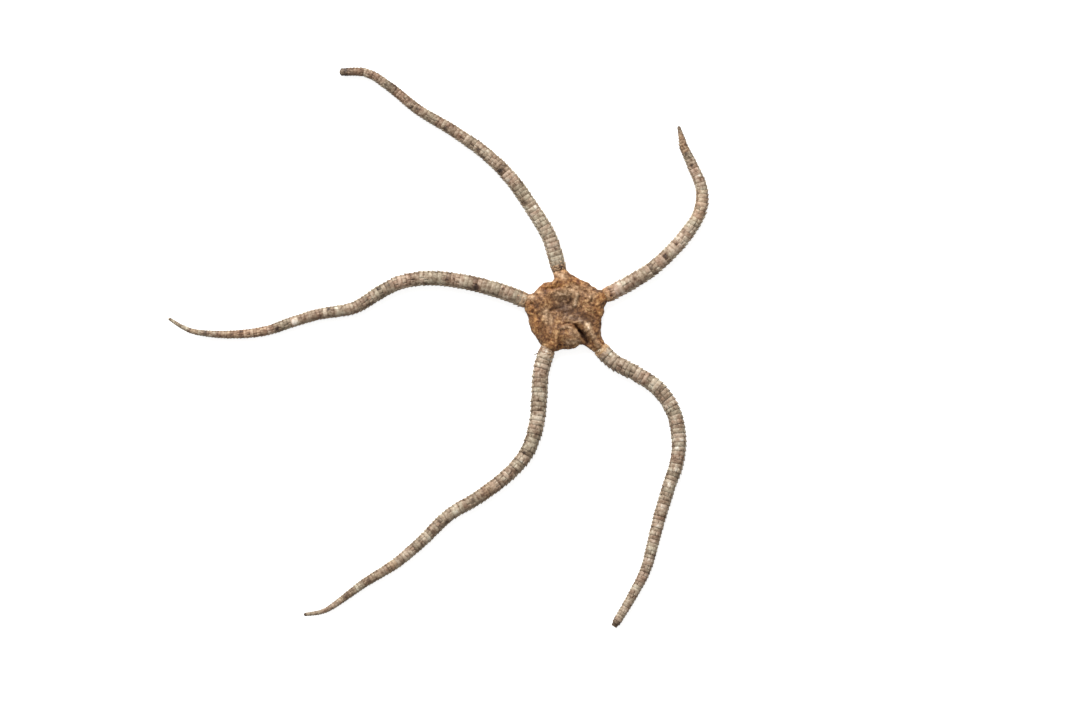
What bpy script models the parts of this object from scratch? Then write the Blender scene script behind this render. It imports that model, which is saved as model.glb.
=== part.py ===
"""A dried brittle star: a round disc about 20 mm across with five long jointed arms, lying flat.

The object has six pieces, one for the disc and one for each arm. X and Y lie in the plane that the star
rests on, as seen from above, and Z is up. The origin is under the middle of the star's bounding box.
"""

import math

import bmesh
import bpy
from mathutils import Vector

MM = 0.001

# Driving dimensions, in millimetres
DISC_AT = (32.8, 9.0)
DISC_HEIGHT = 4.1
JOINT_GAP = 0.3

# Where each arm leaves the disc: its direction in degrees from +X, and how far out the disc's end face is
ARM_JOINT = {
    "arm_upper_right": (22.7, 11.0),
    "arm_upper_left": (100.2, 11.0),
    "arm_left": (164.5, 10.9),
    "arm_lower_left": (243.0, 10.8),
    "arm_lower_right": (312.3, 11.6),
}

# Each arm's middle line from the joint to the tip, in millimetres from the disc's middle. A row holds
# X, Y, how far the underside is lifted off the surface, and the arm's width there.
ARM_ROUTE = {
    "arm_upper_right": (
        (15.3, 6.9, 0.0, 3.85),
        (22.9, 11.8, 0.0, 3.65),
        (29.7, 18.7, 0.0, 3.50),
        (33.9, 25.1, 0.0, 3.25),
        (34.6, 31.2, 0.1, 3.00),
        (32.3, 37.3, 0.3, 2.60),
        (30.1, 42.0, 0.6, 2.10),
        (29.4, 44.8, 0.8, 1.35),
        (28.8, 47.1, 1.0, 0.85),
    ),
    "arm_upper_left": (
        (-4.7, 19.6, 0.0, 3.80),
        (-9.3, 27.2, 0.0, 3.60),
        (-14.7, 34.7, 0.0, 3.40),
        (-21.7, 41.3, 0.0, 3.15),
        (-29.8, 46.9, 0.0, 2.85),
        (-37.7, 51.6, 0.0, 2.60),
        (-45.1, 57.5, 0.0, 2.35),
        (-51.2, 61.2, 0.2, 2.15),
        (-57.8, 61.4, 0.5, 1.90),
    ),
    "arm_left": (
        (-16.2, 5.1, 0.0, 3.85),
        (-24.7, 7.4, 0.0, 3.70),
        (-33.9, 8.6, 0.0, 3.60),
        (-41.2, 7.9, 0.0, 3.50),
        (-46.8, 5.6, 0.0, 3.35),
        (-54.4, 1.1, 0.0, 3.05),
        (-63.5, -0.6, 0.0, 2.75),
        (-70.6, -2.7, 0.0, 2.60),
        (-77.7, -5.0, 0.0, 2.35),
        (-87.0, -5.8, 0.2, 1.90),
        (-94.7, -5.2, 0.7, 1.35),
        (-98.3, -3.9, 1.0, 1.05),
        (-101.7, -1.8, 1.4, 0.75),
    ),
    "arm_lower_left": (
        (-6.6, -15.5, 0.0, 4.05),
        (-7.0, -22.1, 0.0, 3.95),
        (-7.8, -29.3, 0.0, 3.80),
        (-10.1, -35.8, 0.0, 3.60),
        (-14.9, -41.6, 0.0, 3.45),
        (-22.2, -47.2, 0.0, 3.35),
        (-30.4, -52.3, 0.0, 3.15),
        (-37.2, -58.9, 0.0, 2.90),
        (-43.9, -64.5, 0.0, 2.60),
        (-52.0, -69.6, 0.1, 2.15),
        (-59.2, -74.9, 0.4, 1.50),
        (-62.7, -76.8, 0.6, 1.15),
        (-66.8, -77.5, 0.8, 0.90),
    ),
    "arm_lower_right": (
        (12.2, -12.8, 0.0, 3.95),
        (17.9, -15.9, 0.0, 3.85),
        (23.0, -19.3, 0.0, 3.85),
        (26.9, -24.6, 0.0, 3.75),
        (28.6, -31.4, 0.0, 3.65),
        (28.3, -38.2, 0.0, 3.50),
        (25.7, -46.2, 0.0, 3.30),
        (22.9, -56.0, 0.0, 3.05),
        (20.4, -65.5, 0.0, 2.70),
        (16.8, -72.8, 0.1, 2.40),
        (12.1, -80.6, 0.3, 2.05),
    ),
}

# Arm plates: each raised ring of the solid stands for one or two of the star's own plate rings. It swells
# towards the tip, steps in to the next ring, and swells most at the sides, where the arm spines lie.
ARM_HEIGHT_SHARE = 0.86
ARM_SIDES = 8
RIDGE_PITCH = 1.75
RIDGE_STEP = 0.12
RIDGE_SLOPE_SHARE = 0.8

# The disc's outline: its radius in the sector after each arm of ARM_JOINT, and the spokes of its mesh
SECTOR_RADIUS = (9.45, 9.6, 10.4, 9.8, 9.9)
COLLAR_SPOKES = (-10.5, -3.5, 3.5, 10.5)
SECTOR_SPOKES = 8
COLLAR_FILLET = 0.5

# The disc's section: shares of the radius for the mesh's rings, and the heights of the rim
TOP_RINGS = (0.07, 0.18, 0.29, 0.4, 0.5, 0.6, 0.7, 0.8, 0.89, 0.96, 1.0)
UNDER_RINGS = (1.0, 0.93, 0.8, 0.67, 0.55, 0.43, 0.33, 0.24, 0.15, 0.07)
RIM_TOP = 1.9
RIM_UNDER = 1.1
ARM_ROOT_HEIGHT = 3.4
ARM_ROOT_HALF_WIDTH = (0.9, 2.5)

# Relief of the disc's top: where each ridge or hollow starts and ends, in millimetres from the disc's
# middle, how far it spreads to each side, and its height, which is below zero for a hollow
TOP_RELIEF = {
    "sunken middle": ((-1.0, 1.9), (0.4, 1.4), 2.5, -1.4),
    "pale ridge": ((2.2, 4.6), (2.2, 1.1), 0.8, 0.5),
    "torn lobe": ((-0.6, -6.4), (2.4, -6.8), 1.8, 0.8),
    "root of the lower right arm": ((5.3, -3.7), (7.6, -8.4), 1.1, 0.9),
    "tear beside that root": ((2.6, -4.1), (5.4, -7.8), 0.7, -2.2),
}
SHIELD_RADIUS = 7.6
SHIELD_SIDE_DEG = 14.0
SHIELD_SPREAD = 1.2
SHIELD_RISE = 0.45

# Underside: flat jaws and arm floors, hollow between the arms, with a star-shaped mouth
ORAL_FRAME_RADIUS = 5.8
ARM_FLOOR_HALF_WIDTH = (1.2, 2.4)
UNDER_HOLLOW = 0.8
MOUTH_RADIUS = 1.3
MOUTH_SLIT = 1.7
MOUTH_SLIT_DEG = 28.0
MOUTH_DEPTH = 1.3


def smooth_step(low, high, value):
    """0 below low, 1 above high, and a smooth rise between them."""
    share = min(1.0, max(0.0, (value - low) / (high - low)))
    return share * share * (3 - 2 * share)


def mix(a, b, share):
    return a + (b - a) * share


def unit(degrees):
    return Vector((math.cos(math.radians(degrees)), math.sin(math.radians(degrees))))


def clay(name, colour, roughness):
    """The piece's own dull, chalky material."""
    material = bpy.data.materials.new(name)
    material.use_nodes = True
    shader = material.node_tree.nodes["Principled BSDF"]
    shader.inputs["Base Color"].default_value = (*colour, 1)
    shader.inputs["Roughness"].default_value = roughness
    shader.inputs["Metallic"].default_value = 0.0
    return material


def piece(name, mesh, material, parent):
    """One named object under the star's empty."""
    obj = bpy.data.objects.new(name, mesh)
    bpy.context.scene.collection.objects.link(obj)
    mesh.materials.append(material)
    obj.parent = parent
    return obj


def mesh_of_rings(name, rings, first_tip=None, last_tip=None):
    """A closed mesh through rings of points, with a flat or pointed end at each side."""
    shape = bmesh.new()
    loops = [[shape.verts.new(point) for point in ring] for ring in rings]
    count = len(loops[0])
    for near, far in zip(loops, loops[1:]):
        for i in range(count):
            j = (i + 1) % count
            shape.faces.new((near[i], near[j], far[j], far[i]))
    for loop, tip in ((loops[0], first_tip), (loops[-1], last_tip)):
        if tip is None:
            shape.faces.new(loop)
        else:
            middle = shape.verts.new(tip)
            for i in range(count):
                shape.faces.new((loop[i], loop[(i + 1) % count], middle))
    bmesh.ops.recalc_face_normals(shape, faces=shape.faces)
    bmesh.ops.triangulate(shape, faces=shape.faces)
    mesh = bpy.data.meshes.new(name)
    shape.to_mesh(mesh)
    shape.free()
    mesh.shade_smooth()
    mesh.set_sharp_from_angle(angle=math.radians(40))
    return mesh


def outline():
    """The disc seen from above, as (direction, radius) for each spoke: a flat end face for each arm, and
    a round sector from there to the next arm."""
    spokes = []
    joints = list(ARM_JOINT.values())
    for i, (direction, reach) in enumerate(joints):
        for turn in COLLAR_SPOKES:
            spokes.append((direction + turn, reach / math.cos(math.radians(turn))))
        start = direction + COLLAR_SPOKES[-1]
        width = (joints[(i + 1) % 5][0] - direction) % 360 - 2 * COLLAR_SPOKES[-1]
        for k in range(1, SECTOR_SPOKES + 1):
            beside_arm = k in (1, SECTOR_SPOKES)
            radius = SECTOR_RADIUS[i] + COLLAR_FILLET * beside_arm
            spokes.append((start + width * k / (SECTOR_SPOKES + 1), radius))
    return spokes


def beside_line(x, y, start, end):
    """The distance from X, Y to the line from start to end."""
    start, end = Vector(start), Vector(end)
    along = end - start
    share = min(1.0, max(0.0, (Vector((x, y)) - start).dot(along) / along.length_squared))
    return (Vector((x, y)) - start - along * share).length


def on_arm_root(x, y, half_width):
    """1 over an arm's root, 0 between the arms, and a smooth change over the half widths given."""
    here = Vector((x, y))
    share = 0.0
    for direction, _ in ARM_JOINT.values():
        way = unit(direction)
        if here.dot(way) > 0:
            side = abs(here.x * way.y - here.y * way.x)
            share = max(share, 1 - smooth_step(*half_width, side))
    return share


def relief():
    """TOP_RELIEF, and the two radial shields beside each arm's root, which show as low mounds."""
    rows = list(TOP_RELIEF.values())
    for direction, _ in ARM_JOINT.values():
        for side in (-SHIELD_SIDE_DEG, SHIELD_SIDE_DEG):
            outer = unit(direction + side) * SHIELD_RADIUS
            rows.append((outer, outer * 0.8, SHIELD_SPREAD, SHIELD_RISE))
    return rows


def top_height(x, y, share):
    """The disc's top: level over most of its width and rounded down to the rim, with its relief."""
    rim = mix(RIM_TOP, ARM_ROOT_HEIGHT, on_arm_root(x, y, ARM_ROOT_HALF_WIDTH))
    height = rim + (DISC_HEIGHT - rim) * (1 - share**4.5) ** 0.5
    for start, end, spread, rise in relief():
        away = beside_line(x, y, start, end)
        height += rise * math.exp(-((away / spread) ** 2)) * (1 - share**6)
    return height


def under_height(x, y, share):
    """The disc's underside: flat under the arms and the jaws, hollow between the arms and in the mouth."""
    radius = math.hypot(x, y)
    on_floor = on_arm_root(x, y, ARM_FLOOR_HALF_WIDTH)
    on_floor = max(on_floor, 1 - smooth_step(ORAL_FRAME_RADIUS, ORAL_FRAME_RADIUS + 1.2, radius))
    facing = math.degrees(math.atan2(y, x))
    off_arm = min(abs((facing - joint[0] + 180) % 360 - 180) for joint in ARM_JOINT.values())
    mouth_edge = MOUTH_RADIUS + MOUTH_SLIT * (1 - smooth_step(0, MOUTH_SLIT_DEG, off_arm))
    mouth = MOUTH_DEPTH * (1 - smooth_step(0.3 * mouth_edge, mouth_edge, radius))
    hollow = UNDER_HOLLOW * (1 - on_floor)
    rim = (RIM_UNDER - hollow) * (1 - on_floor) * smooth_step(0.88, 1.0, share)
    return hollow + mouth + rim


def disc_mesh():
    """The disc as rings of points, from the middle of its top over the rim to the mouth."""
    spokes = outline()

    def ring(share, height):
        points = []
        for degrees, radius in spokes:
            flat = unit(degrees) * radius * share
            points.append(Vector((flat.x, flat.y, height(flat.x, flat.y, share))) * MM)
        return points

    rings = [ring(share, top_height) for share in TOP_RINGS]
    rings += [ring(share, under_height) for share in UNDER_RINGS]
    top = Vector((0, 0, top_height(0, 0, 0))) * MM
    under = Vector((0, 0, under_height(0, 0, 0))) * MM
    return mesh_of_rings("disc", rings, first_tip=top, last_tip=under)


def route_of(name):
    """The arm's rows with one more at the joint, just clear of the disc's end face."""
    direction, reach = ARM_JOINT[name]
    start = unit(direction) * (reach + JOINT_GAP)
    rows = ARM_ROUTE[name]
    return [(start.x, start.y, 0.0, rows[0][3] + 0.05), *rows]


def spline_point(rows, position):
    """A point of the smooth curve through the rows, where position counts rows from the first."""
    i = min(int(position), len(rows) - 2)
    t = position - i
    before = rows[max(i - 1, 0)]
    after = rows[min(i + 2, len(rows) - 1)]
    point = []
    for a, b, c, d in zip(before, rows[i], rows[i + 1], after):
        bend = (2 * a - 5 * b + 4 * c - d) * t**2 + (3 * b - a - 3 * c + d) * t**3
        point.append(0.5 * (2 * b + (c - a) * t + bend))
    return point


def stations(rows, step=0.05):
    """The curve cut finely: (distance from the joint, X, Y, lift, width) all along the arm."""
    found = []
    distance = 0.0
    last = None
    for k in range(int((len(rows) - 1) / step) + 1):
        x, y, lift, width = spline_point(rows, k * step)
        here = Vector((x, y))
        if last is not None:
            distance += (here - last).length
        found.append((distance, x, y, max(lift, 0.0), width))
        last = here
    return found


def at_distance(cut, distance):
    """The place on a cut curve at a distance from the joint, and the way that the arm runs there."""
    for near, far in zip(cut, cut[1:]):
        if far[0] >= distance:
            break
    share = (distance - near[0]) / (far[0] - near[0])
    x, y, lift, width = (mix(a, b, share) for a, b in zip(near[1:], far[1:]))
    way = Vector((far[1] - near[1], far[2] - near[2])).normalized()
    return Vector((x, y, lift)), way, width


def arm_ring(place, way, width, nip=0.0):
    """One eight-sided section across the arm, flat below and on top. The nip takes in its width by that
    share, and its height by a third of it."""
    side = Vector((-way.y, way.x, 0))
    height = width * ARM_HEIGHT_SHARE * (1 - nip / 3)
    step = 2 * math.pi / ARM_SIDES
    widest = math.cos(step / 2)
    points = []
    for i in range(ARM_SIDES):
        angle = -math.pi / 2 + step / 2 + i * step
        across = 0.5 * width * (1 - nip) * math.cos(angle) / widest
        up = 0.5 * height * (1 + math.sin(angle) / widest)
        points.append((place + side * across + Vector((0, 0, up))) * MM)
    return points


def arm_mesh(name):
    """An arm as a row of plate rings, each swelling towards the tip and stepping in to the next."""
    cut = stations(route_of(name))
    length = cut[-1][0]
    ridges = round(length / RIDGE_PITCH)
    pitch = length / ridges
    rings = []
    for ridge in range(ridges):
        start = ridge * pitch
        place, way, width = at_distance(cut, start)
        if ridge == 0:
            way = unit(ARM_JOINT[name][0])
        rings.append(arm_ring(place, way, width, RIDGE_STEP))
        rings.append(arm_ring(*at_distance(cut, start + pitch * RIDGE_SLOPE_SHARE)))
    rings.append(arm_ring(*at_distance(cut, length), 2 * RIDGE_STEP))
    return mesh_of_rings(name, rings)


def main():
    for obj in list(bpy.data.objects):
        bpy.data.objects.remove(obj)
    star = bpy.data.objects.new("brittle_star", None)
    bpy.context.scene.collection.objects.link(star)
    star.location = Vector((*DISC_AT, 0)) * MM

    skin = clay("dried_disc_skin", (0.26, 0.15, 0.08), 0.85)
    plates = clay("calcite_arm_plates", (0.35, 0.27, 0.20), 0.75)
    piece("disc", disc_mesh(), skin, star)
    for name in ARM_ROUTE:
        piece(name, arm_mesh(name), plates, star)
    bpy.context.view_layer.update()


main()
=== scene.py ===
# %% [markdown]
# # A dried brittle star, seen from above
#
# The real object is a serpent star that was dried whole: a small round disc and five long arms. Its arms
# are rows of hard calcite plates with dried tissue in the gaps, and its disc is a leathery skin set with
# limy granules. CAD holds the plain solids. This script gives them their plates, spines, granules, colours
# and light, and it never moves a solid.

# %% Load the frame
import math
import random

import bpy
import numpy as np
from mathutils import Euler, Matrix, Vector, noise


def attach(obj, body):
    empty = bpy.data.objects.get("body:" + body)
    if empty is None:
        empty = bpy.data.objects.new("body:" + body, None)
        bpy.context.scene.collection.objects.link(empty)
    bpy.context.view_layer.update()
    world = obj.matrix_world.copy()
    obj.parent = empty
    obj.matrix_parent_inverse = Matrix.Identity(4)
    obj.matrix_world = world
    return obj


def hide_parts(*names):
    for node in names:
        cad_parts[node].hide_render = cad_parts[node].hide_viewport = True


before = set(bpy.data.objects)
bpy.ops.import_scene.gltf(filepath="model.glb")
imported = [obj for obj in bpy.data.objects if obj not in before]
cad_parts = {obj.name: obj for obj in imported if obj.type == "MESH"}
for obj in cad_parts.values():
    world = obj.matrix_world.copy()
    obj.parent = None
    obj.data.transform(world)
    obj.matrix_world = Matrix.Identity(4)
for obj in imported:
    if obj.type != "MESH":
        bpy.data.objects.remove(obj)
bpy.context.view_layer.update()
MM = 0.001

# %% [markdown]
# ## The camera
#
# The photo looks straight down from well above, so the arms show no perspective to speak of. A long lens
# does the same. One pixel of the photo is 0.256 mm on the star, and that sets how high the camera hangs.
# The star lies left of the photo's middle, so the camera stands to the right of the star's own middle.

# %% Hang the camera
PHOTO_WIDTH_PX = 1080
PHOTO_PX = 0.256 * MM
STAR_MIDDLE_PX = (438.5, 347.0)
PHOTO_MIDDLE_PX = (540.0, 360.5)
ARM_MID_HEIGHT = 1.7 * MM
LENS_MM = 100
SENSOR_MM = 36

camera = bpy.data.objects.new("camera", bpy.data.cameras.new("camera"))
bpy.context.scene.collection.objects.link(camera)
bpy.context.scene.camera = camera
camera.data.lens = LENS_MM
camera.data.sensor_width = SENSOR_MM
camera.data.clip_start = 0.01
camera.location = (
    (PHOTO_MIDDLE_PX[0] - STAR_MIDDLE_PX[0]) * PHOTO_PX,
    (STAR_MIDDLE_PX[1] - PHOTO_MIDDLE_PX[1]) * PHOTO_PX,
    ARM_MID_HEIGHT + PHOTO_WIDTH_PX * PHOTO_PX * LENS_MM / SENSOR_MM,
)
print("camera height in mm", round(camera.location.z / MM))

# %% [markdown]
# ## Light and floor
#
# The photo's light is broad and soft. It comes from the top of the picture and a little from the left, and
# so much of it comes back from the white ground that the lower flanks of the arms are only slightly darker.
# The ground shows almost no shadow. One large area lamp and a bright, even world do this.

# %% Light the star
KEY_SIZE = 0.7
KEY_AT = Vector((-0.28, 0.95, 0.72))
KEY_POWER = 21.9
SKY_STRENGTH = 0.38

key = bpy.data.objects.new("key_light", bpy.data.lights.new("key_light", "AREA"))
bpy.context.scene.collection.objects.link(key)
key.data.size = KEY_SIZE
key.data.energy = KEY_POWER
key.location = KEY_AT
key.rotation_euler = (-KEY_AT).to_track_quat("-Z", "Y").to_euler()

world = bpy.data.worlds.new("even_sky")
bpy.context.scene.world = world
world.use_nodes = True
world.node_tree.nodes["Background"].inputs["Color"].default_value = (1, 1, 1, 1)
world.node_tree.nodes["Background"].inputs["Strength"].default_value = SKY_STRENGTH
bpy.context.scene.view_settings.view_transform = "Standard"
print("key light", round(KEY_AT.length, 2), "m away")

# %% [markdown]
# ## Colours and nodes
#
# Colours are picked as the sRGB values that a screen shows, and the shader wants linear ones, so one
# function turns them. A second small function adds a node with its settings and links, and it serves the
# Geometry Nodes further down as well.

# %% Helpers for materials
def linear(hex_colour):
    """An sRGB hex colour such as "a08f7c" as a linear RGBA value."""
    rgb = [int(hex_colour[i : i + 2], 16) / 255 for i in (0, 2, 4)]
    return (*[c / 12.92 if c <= 0.04045 else ((c + 0.055) / 1.055) ** 2.4 for c in rgb], 1)


def add_node(tree, kind, settings=None, inputs=None, stops=None):
    """Adds a node, sets its own settings, and fills its inputs with values, sockets or other nodes. The kind
    is a shader node's short name or another node's full name. Stops are a Color Ramp's, as pairs of a
    position and a hex colour."""
    made = tree.nodes.new(kind if "Node" in kind else "ShaderNode" + kind)
    for name, value in (settings or {}).items():
        setattr(made, name, value)
    for name, value in (inputs or {}).items():
        if isinstance(value, bpy.types.Node):
            value = next(socket for socket in value.outputs if socket.enabled)
        if isinstance(value, bpy.types.NodeSocket):
            tree.links.new(value, made.inputs[name])
        else:
            made.inputs[name].default_value = value
    for k, (position, colour) in enumerate(stops or ()):
        elements = made.color_ramp.elements
        element = elements[k] if k < len(elements) else elements.new(position)
        element.position = position
        element.color = linear(colour)
    return made


def new_material(name, roughness, ior):
    """A material with a Principled shader of this roughness and IOR, and the shader's node tree."""
    material = bpy.data.materials.new(name)
    material.use_nodes = True
    shader = material.node_tree.nodes["Principled BSDF"]
    shader.inputs["Roughness"].default_value = roughness
    shader.inputs["IOR"].default_value = ior
    return material, material.node_tree, shader


print("white in linear light", linear("ffffff")[0])

# %% White floor
FLOOR_SIZE = 3.0
TABLE_GLOW = 0.8
bpy.ops.object.select_all(action="DESELECT")
bpy.ops.mesh.primitive_plane_add(size=FLOOR_SIZE, location=(0, 0, 0))
floor = bpy.context.object
floor.name = "floor"
paper, paper_tree, paper_shader = new_material("matt white card", roughness=1.0, ior=1.45)
paper_shader.inputs["Base Color"].default_value = linear("d2d2d0")
paper_shader.inputs["Specular IOR Level"].default_value = 0.0
paper_shader.inputs["Emission Color"].default_value = (1, 1, 1, 1)
# The card looks overexposed, as in the photo, without throwing that extra light up at the star.
seen = add_node(paper_tree, "LightPath").outputs["Is Camera Ray"]
glow = add_node(paper_tree, "Math", {"operation": "MULTIPLY"}, {0: seen, 1: TABLE_GLOW})
paper_tree.links.new(glow.outputs[0], paper_shader.inputs["Emission Strength"])
floor.data.materials.append(paper)
print("floor", FLOOR_SIZE, "m wide")

# %% [markdown]
# ## Where the arms lie
#
# Each arm follows a smooth curve through a few given points. They are the same points as in CAD, so the
# plates fall on the solids. Each row holds X and Y in millimetres from the disc's middle, how far the
# underside is lifted off the floor, and the arm's width. The first row lies inside the disc, so that no gap
# shows where an arm leaves it.

# %% Arm routes
DISC_AT = Vector((32.8, 9.0, 0.0)) * MM

ARM_ROUTE = {
    "arm_upper_right": (
        (6.9, 2.9, 0.1, 3.50), (10.4, 4.4, 0.0, 3.85), (15.3, 6.9, 0.0, 3.85), (22.9, 11.8, 0.0, 3.65),
        (29.7, 18.7, 0.0, 3.50), (33.9, 25.1, 0.0, 3.25), (34.6, 31.2, 0.1, 3.00), (32.3, 37.3, 0.3, 2.60),
        (30.1, 42.0, 0.6, 2.10), (29.4, 44.8, 0.8, 1.35), (28.8, 47.1, 1.0, 0.85),
    ),
    "arm_upper_left": (
        (-1.3, 7.4, 0.1, 3.50), (-2.0, 11.1, 0.0, 3.85), (-4.7, 19.6, 0.0, 3.80), (-9.3, 27.2, 0.0, 3.60),
        (-14.7, 34.7, 0.0, 3.40), (-21.7, 41.3, 0.0, 3.15), (-29.8, 46.9, 0.0, 2.85),
        (-37.7, 51.6, 0.0, 2.60), (-45.1, 57.5, 0.0, 2.35), (-51.2, 61.2, 0.2, 2.15),
        (-57.8, 61.4, 0.5, 1.90),
    ),
    "arm_left": (
        (-7.1, 1.9, 0.1, 3.50), (-10.8, 3.0, 0.0, 3.90), (-16.2, 5.1, 0.0, 3.85), (-24.7, 7.4, 0.0, 3.70),
        (-33.9, 8.6, 0.0, 3.60), (-41.2, 7.9, 0.0, 3.50), (-46.8, 5.6, 0.0, 3.35), (-54.4, 1.1, 0.0, 3.05),
        (-63.5, -0.6, 0.0, 2.75), (-70.6, -2.7, 0.0, 2.60), (-77.7, -5.0, 0.0, 2.35),
        (-87.0, -5.8, 0.2, 1.90), (-94.7, -5.2, 0.7, 1.35), (-98.3, -3.9, 1.0, 1.05),
        (-101.7, -1.8, 1.4, 0.75),
    ),
    "arm_lower_left": (
        (-3.4, -6.5, 0.1, 3.50), (-5.0, -9.9, 0.0, 4.05), (-6.6, -15.5, 0.0, 4.05),
        (-7.0, -22.1, 0.0, 3.95), (-7.8, -29.3, 0.0, 3.80), (-10.1, -35.8, 0.0, 3.60),
        (-14.9, -41.6, 0.0, 3.45), (-22.2, -47.2, 0.0, 3.35), (-30.4, -52.3, 0.0, 3.15),
        (-37.2, -58.9, 0.0, 2.90), (-43.9, -64.5, 0.0, 2.60), (-52.0, -69.6, 0.1, 2.15),
        (-59.2, -74.9, 0.4, 1.50), (-62.7, -76.8, 0.6, 1.15), (-66.8, -77.5, 0.8, 0.90),
    ),
    "arm_lower_right": (
        (5.4, -6.0, 0.1, 3.50), (8.0, -8.8, 0.0, 4.00), (12.2, -12.8, 0.0, 3.95), (17.9, -15.9, 0.0, 3.85),
        (23.0, -19.3, 0.0, 3.85), (26.9, -24.6, 0.0, 3.75), (28.6, -31.4, 0.0, 3.65),
        (28.3, -38.2, 0.0, 3.50), (25.7, -46.2, 0.0, 3.30), (22.9, -56.0, 0.0, 3.05),
        (20.4, -65.5, 0.0, 2.70), (16.8, -72.8, 0.1, 2.40), (12.1, -80.6, 0.3, 2.05),
    ),
}


def spline_point(rows, position):
    """A point of the smooth curve through the rows, where position counts rows from the first."""
    i = min(int(position), len(rows) - 2)
    t = position - i
    before = rows[max(i - 1, 0)]
    after = rows[min(i + 2, len(rows) - 1)]
    point = []
    for a, b, c, d in zip(before, rows[i], rows[i + 1], after):
        bend = (2 * a - 5 * b + 4 * c - d) * t**2 + (3 * b - a - 3 * c + d) * t**3
        point.append(0.5 * (2 * b + (c - a) * t + bend))
    return point


def cut_route(rows, step=0.02):
    """The curve cut finely, as rows of distance from its start, X, Y, lift and width, in millimetres."""
    cut = []
    distance = 0.0
    for k in range(int((len(rows) - 1) / step) + 1):
        x, y, lift, width = spline_point(rows, k * step)
        if cut:
            distance += math.dist((x, y), cut[-1][1:3])
        cut.append((distance, x, y, max(lift, 0.0), width))
    return np.array(cut)


ARM_CUT = {name: cut_route(rows) for name, rows in ARM_ROUTE.items()}
ARM_WAY = {name: Vector(rows[1][:2]).normalized() for name, rows in ARM_ROUTE.items()}
for name, cut in ARM_CUT.items():
    print(name, "is", round(cut[-1][0], 1), "mm long")

# %% [markdown]
# ## One ring of arm plates
#
# A serpent star's arm is a row of jointed rings. Each ring has an upper plate, which in this kind is often
# broken into two to four pieces, a side plate on each side with a row of short flat spines, and a small
# plate underneath. One ring is modelled at a size where the arm's half width is 1 and the ring's length
# is 1, and it is copied and scaled along the arm. A plate starts as a flat oval, its section along the arm,
# which the spin tool turns about the arm's middle line.

# %% Helpers for modelling
def only(*objects):
    """Deselects everything, then selects these objects and makes the first one active."""
    bpy.ops.object.select_all(action="DESELECT")
    for obj in objects:
        obj.select_set(True)
    bpy.context.view_layer.objects.active = objects[0]


def apply_place():
    """Moves the active object's place, turn and size into its mesh."""
    only(bpy.context.object)
    bpy.ops.object.transform_apply(location=True, rotation=True, scale=True)


def join(objects, name):
    """Joins objects into one, under a plain name."""
    only(*objects)
    bpy.ops.object.join()
    joined = bpy.context.object
    joined.name = name
    joined.data.name = name
    return joined


def own_copy(obj, name):
    """A copy of an object, with a mesh of its own, under this name."""
    copied = bpy.data.objects.new(name, obj.data.copy())
    bpy.context.scene.collection.objects.link(copied)
    return copied


def apply_modifier(obj, kind, **settings):
    """Adds a modifier with these settings to an object and applies it."""
    only(obj)
    modifier = obj.modifiers.new(kind.lower(), kind)
    for name, value in settings.items():
        setattr(modifier, name, value)
    bpy.ops.object.modifier_apply(modifier=modifier.name)


def write_fields(obj, **fields):
    """Stores attributes on an object's vertices. Each is one number for all of them, or a row of numbers."""
    mesh = obj.data
    for name, values in fields.items():
        layer = mesh.attributes.get(name) or mesh.attributes.new(name, "FLOAT", "POINT")
        layer.data.foreach_set("value", np.full(len(mesh.vertices), values, dtype=np.float32))


def read_points(mesh):
    """The mesh's vertices as an array with a row for each."""
    points = np.empty(len(mesh.vertices) * 3, dtype=np.float32)
    mesh.vertices.foreach_get("co", points)
    return points.reshape(-1, 3)


def write_points(mesh, points):
    """Moves the mesh's vertices to these points."""
    mesh.vertices.foreach_set("co", points.ravel())


def move_uvs(mesh, column, row, cells, margin):
    """Moves a mesh's UVs into one cell of a square of cells, inside a margin."""
    layer = mesh.uv_layers[0].uv
    uv = np.empty(len(layer) * 2, dtype=np.float32)
    layer.foreach_get("vector", uv)
    uv = uv.reshape(-1, 2) * (1 - 2 * margin) + margin + (column, row)
    layer.foreach_set("vector", (uv / cells).ravel())


SORT_FROM = Vector((3.1, 7.3, 2.7))


def sort_faces(size):
    """Sorts the active mesh, about this big, by the distance from an odd place. The spin tool and the round
    primitives leave the faces in another order each run, and granules scattered over them would differ."""
    bpy.context.scene.cursor.location = SORT_FROM * size
    bpy.ops.object.mode_set(mode="EDIT")
    bpy.ops.mesh.select_all(action="SELECT")
    bpy.ops.mesh.sort_elements(type="CURSOR_DISTANCE", elements={"VERT", "EDGE", "FACE"})
    bpy.ops.object.mode_set(mode="OBJECT")
    bpy.context.scene.cursor.location = (0, 0, 0)


# %% Curved plates
SECTION_POINTS = 8
SECTION_SQUARENESS = 0.5
PLATE_OVERLAP = 0.07
STEP_DEG = 13.0
# A plate's two ends are a little thinner and shorter, and darker, a painted shade, because they lie low.
END_THINNER = 0.8
END_SHORTER = 0.96
END_RISE = 0.62


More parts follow.
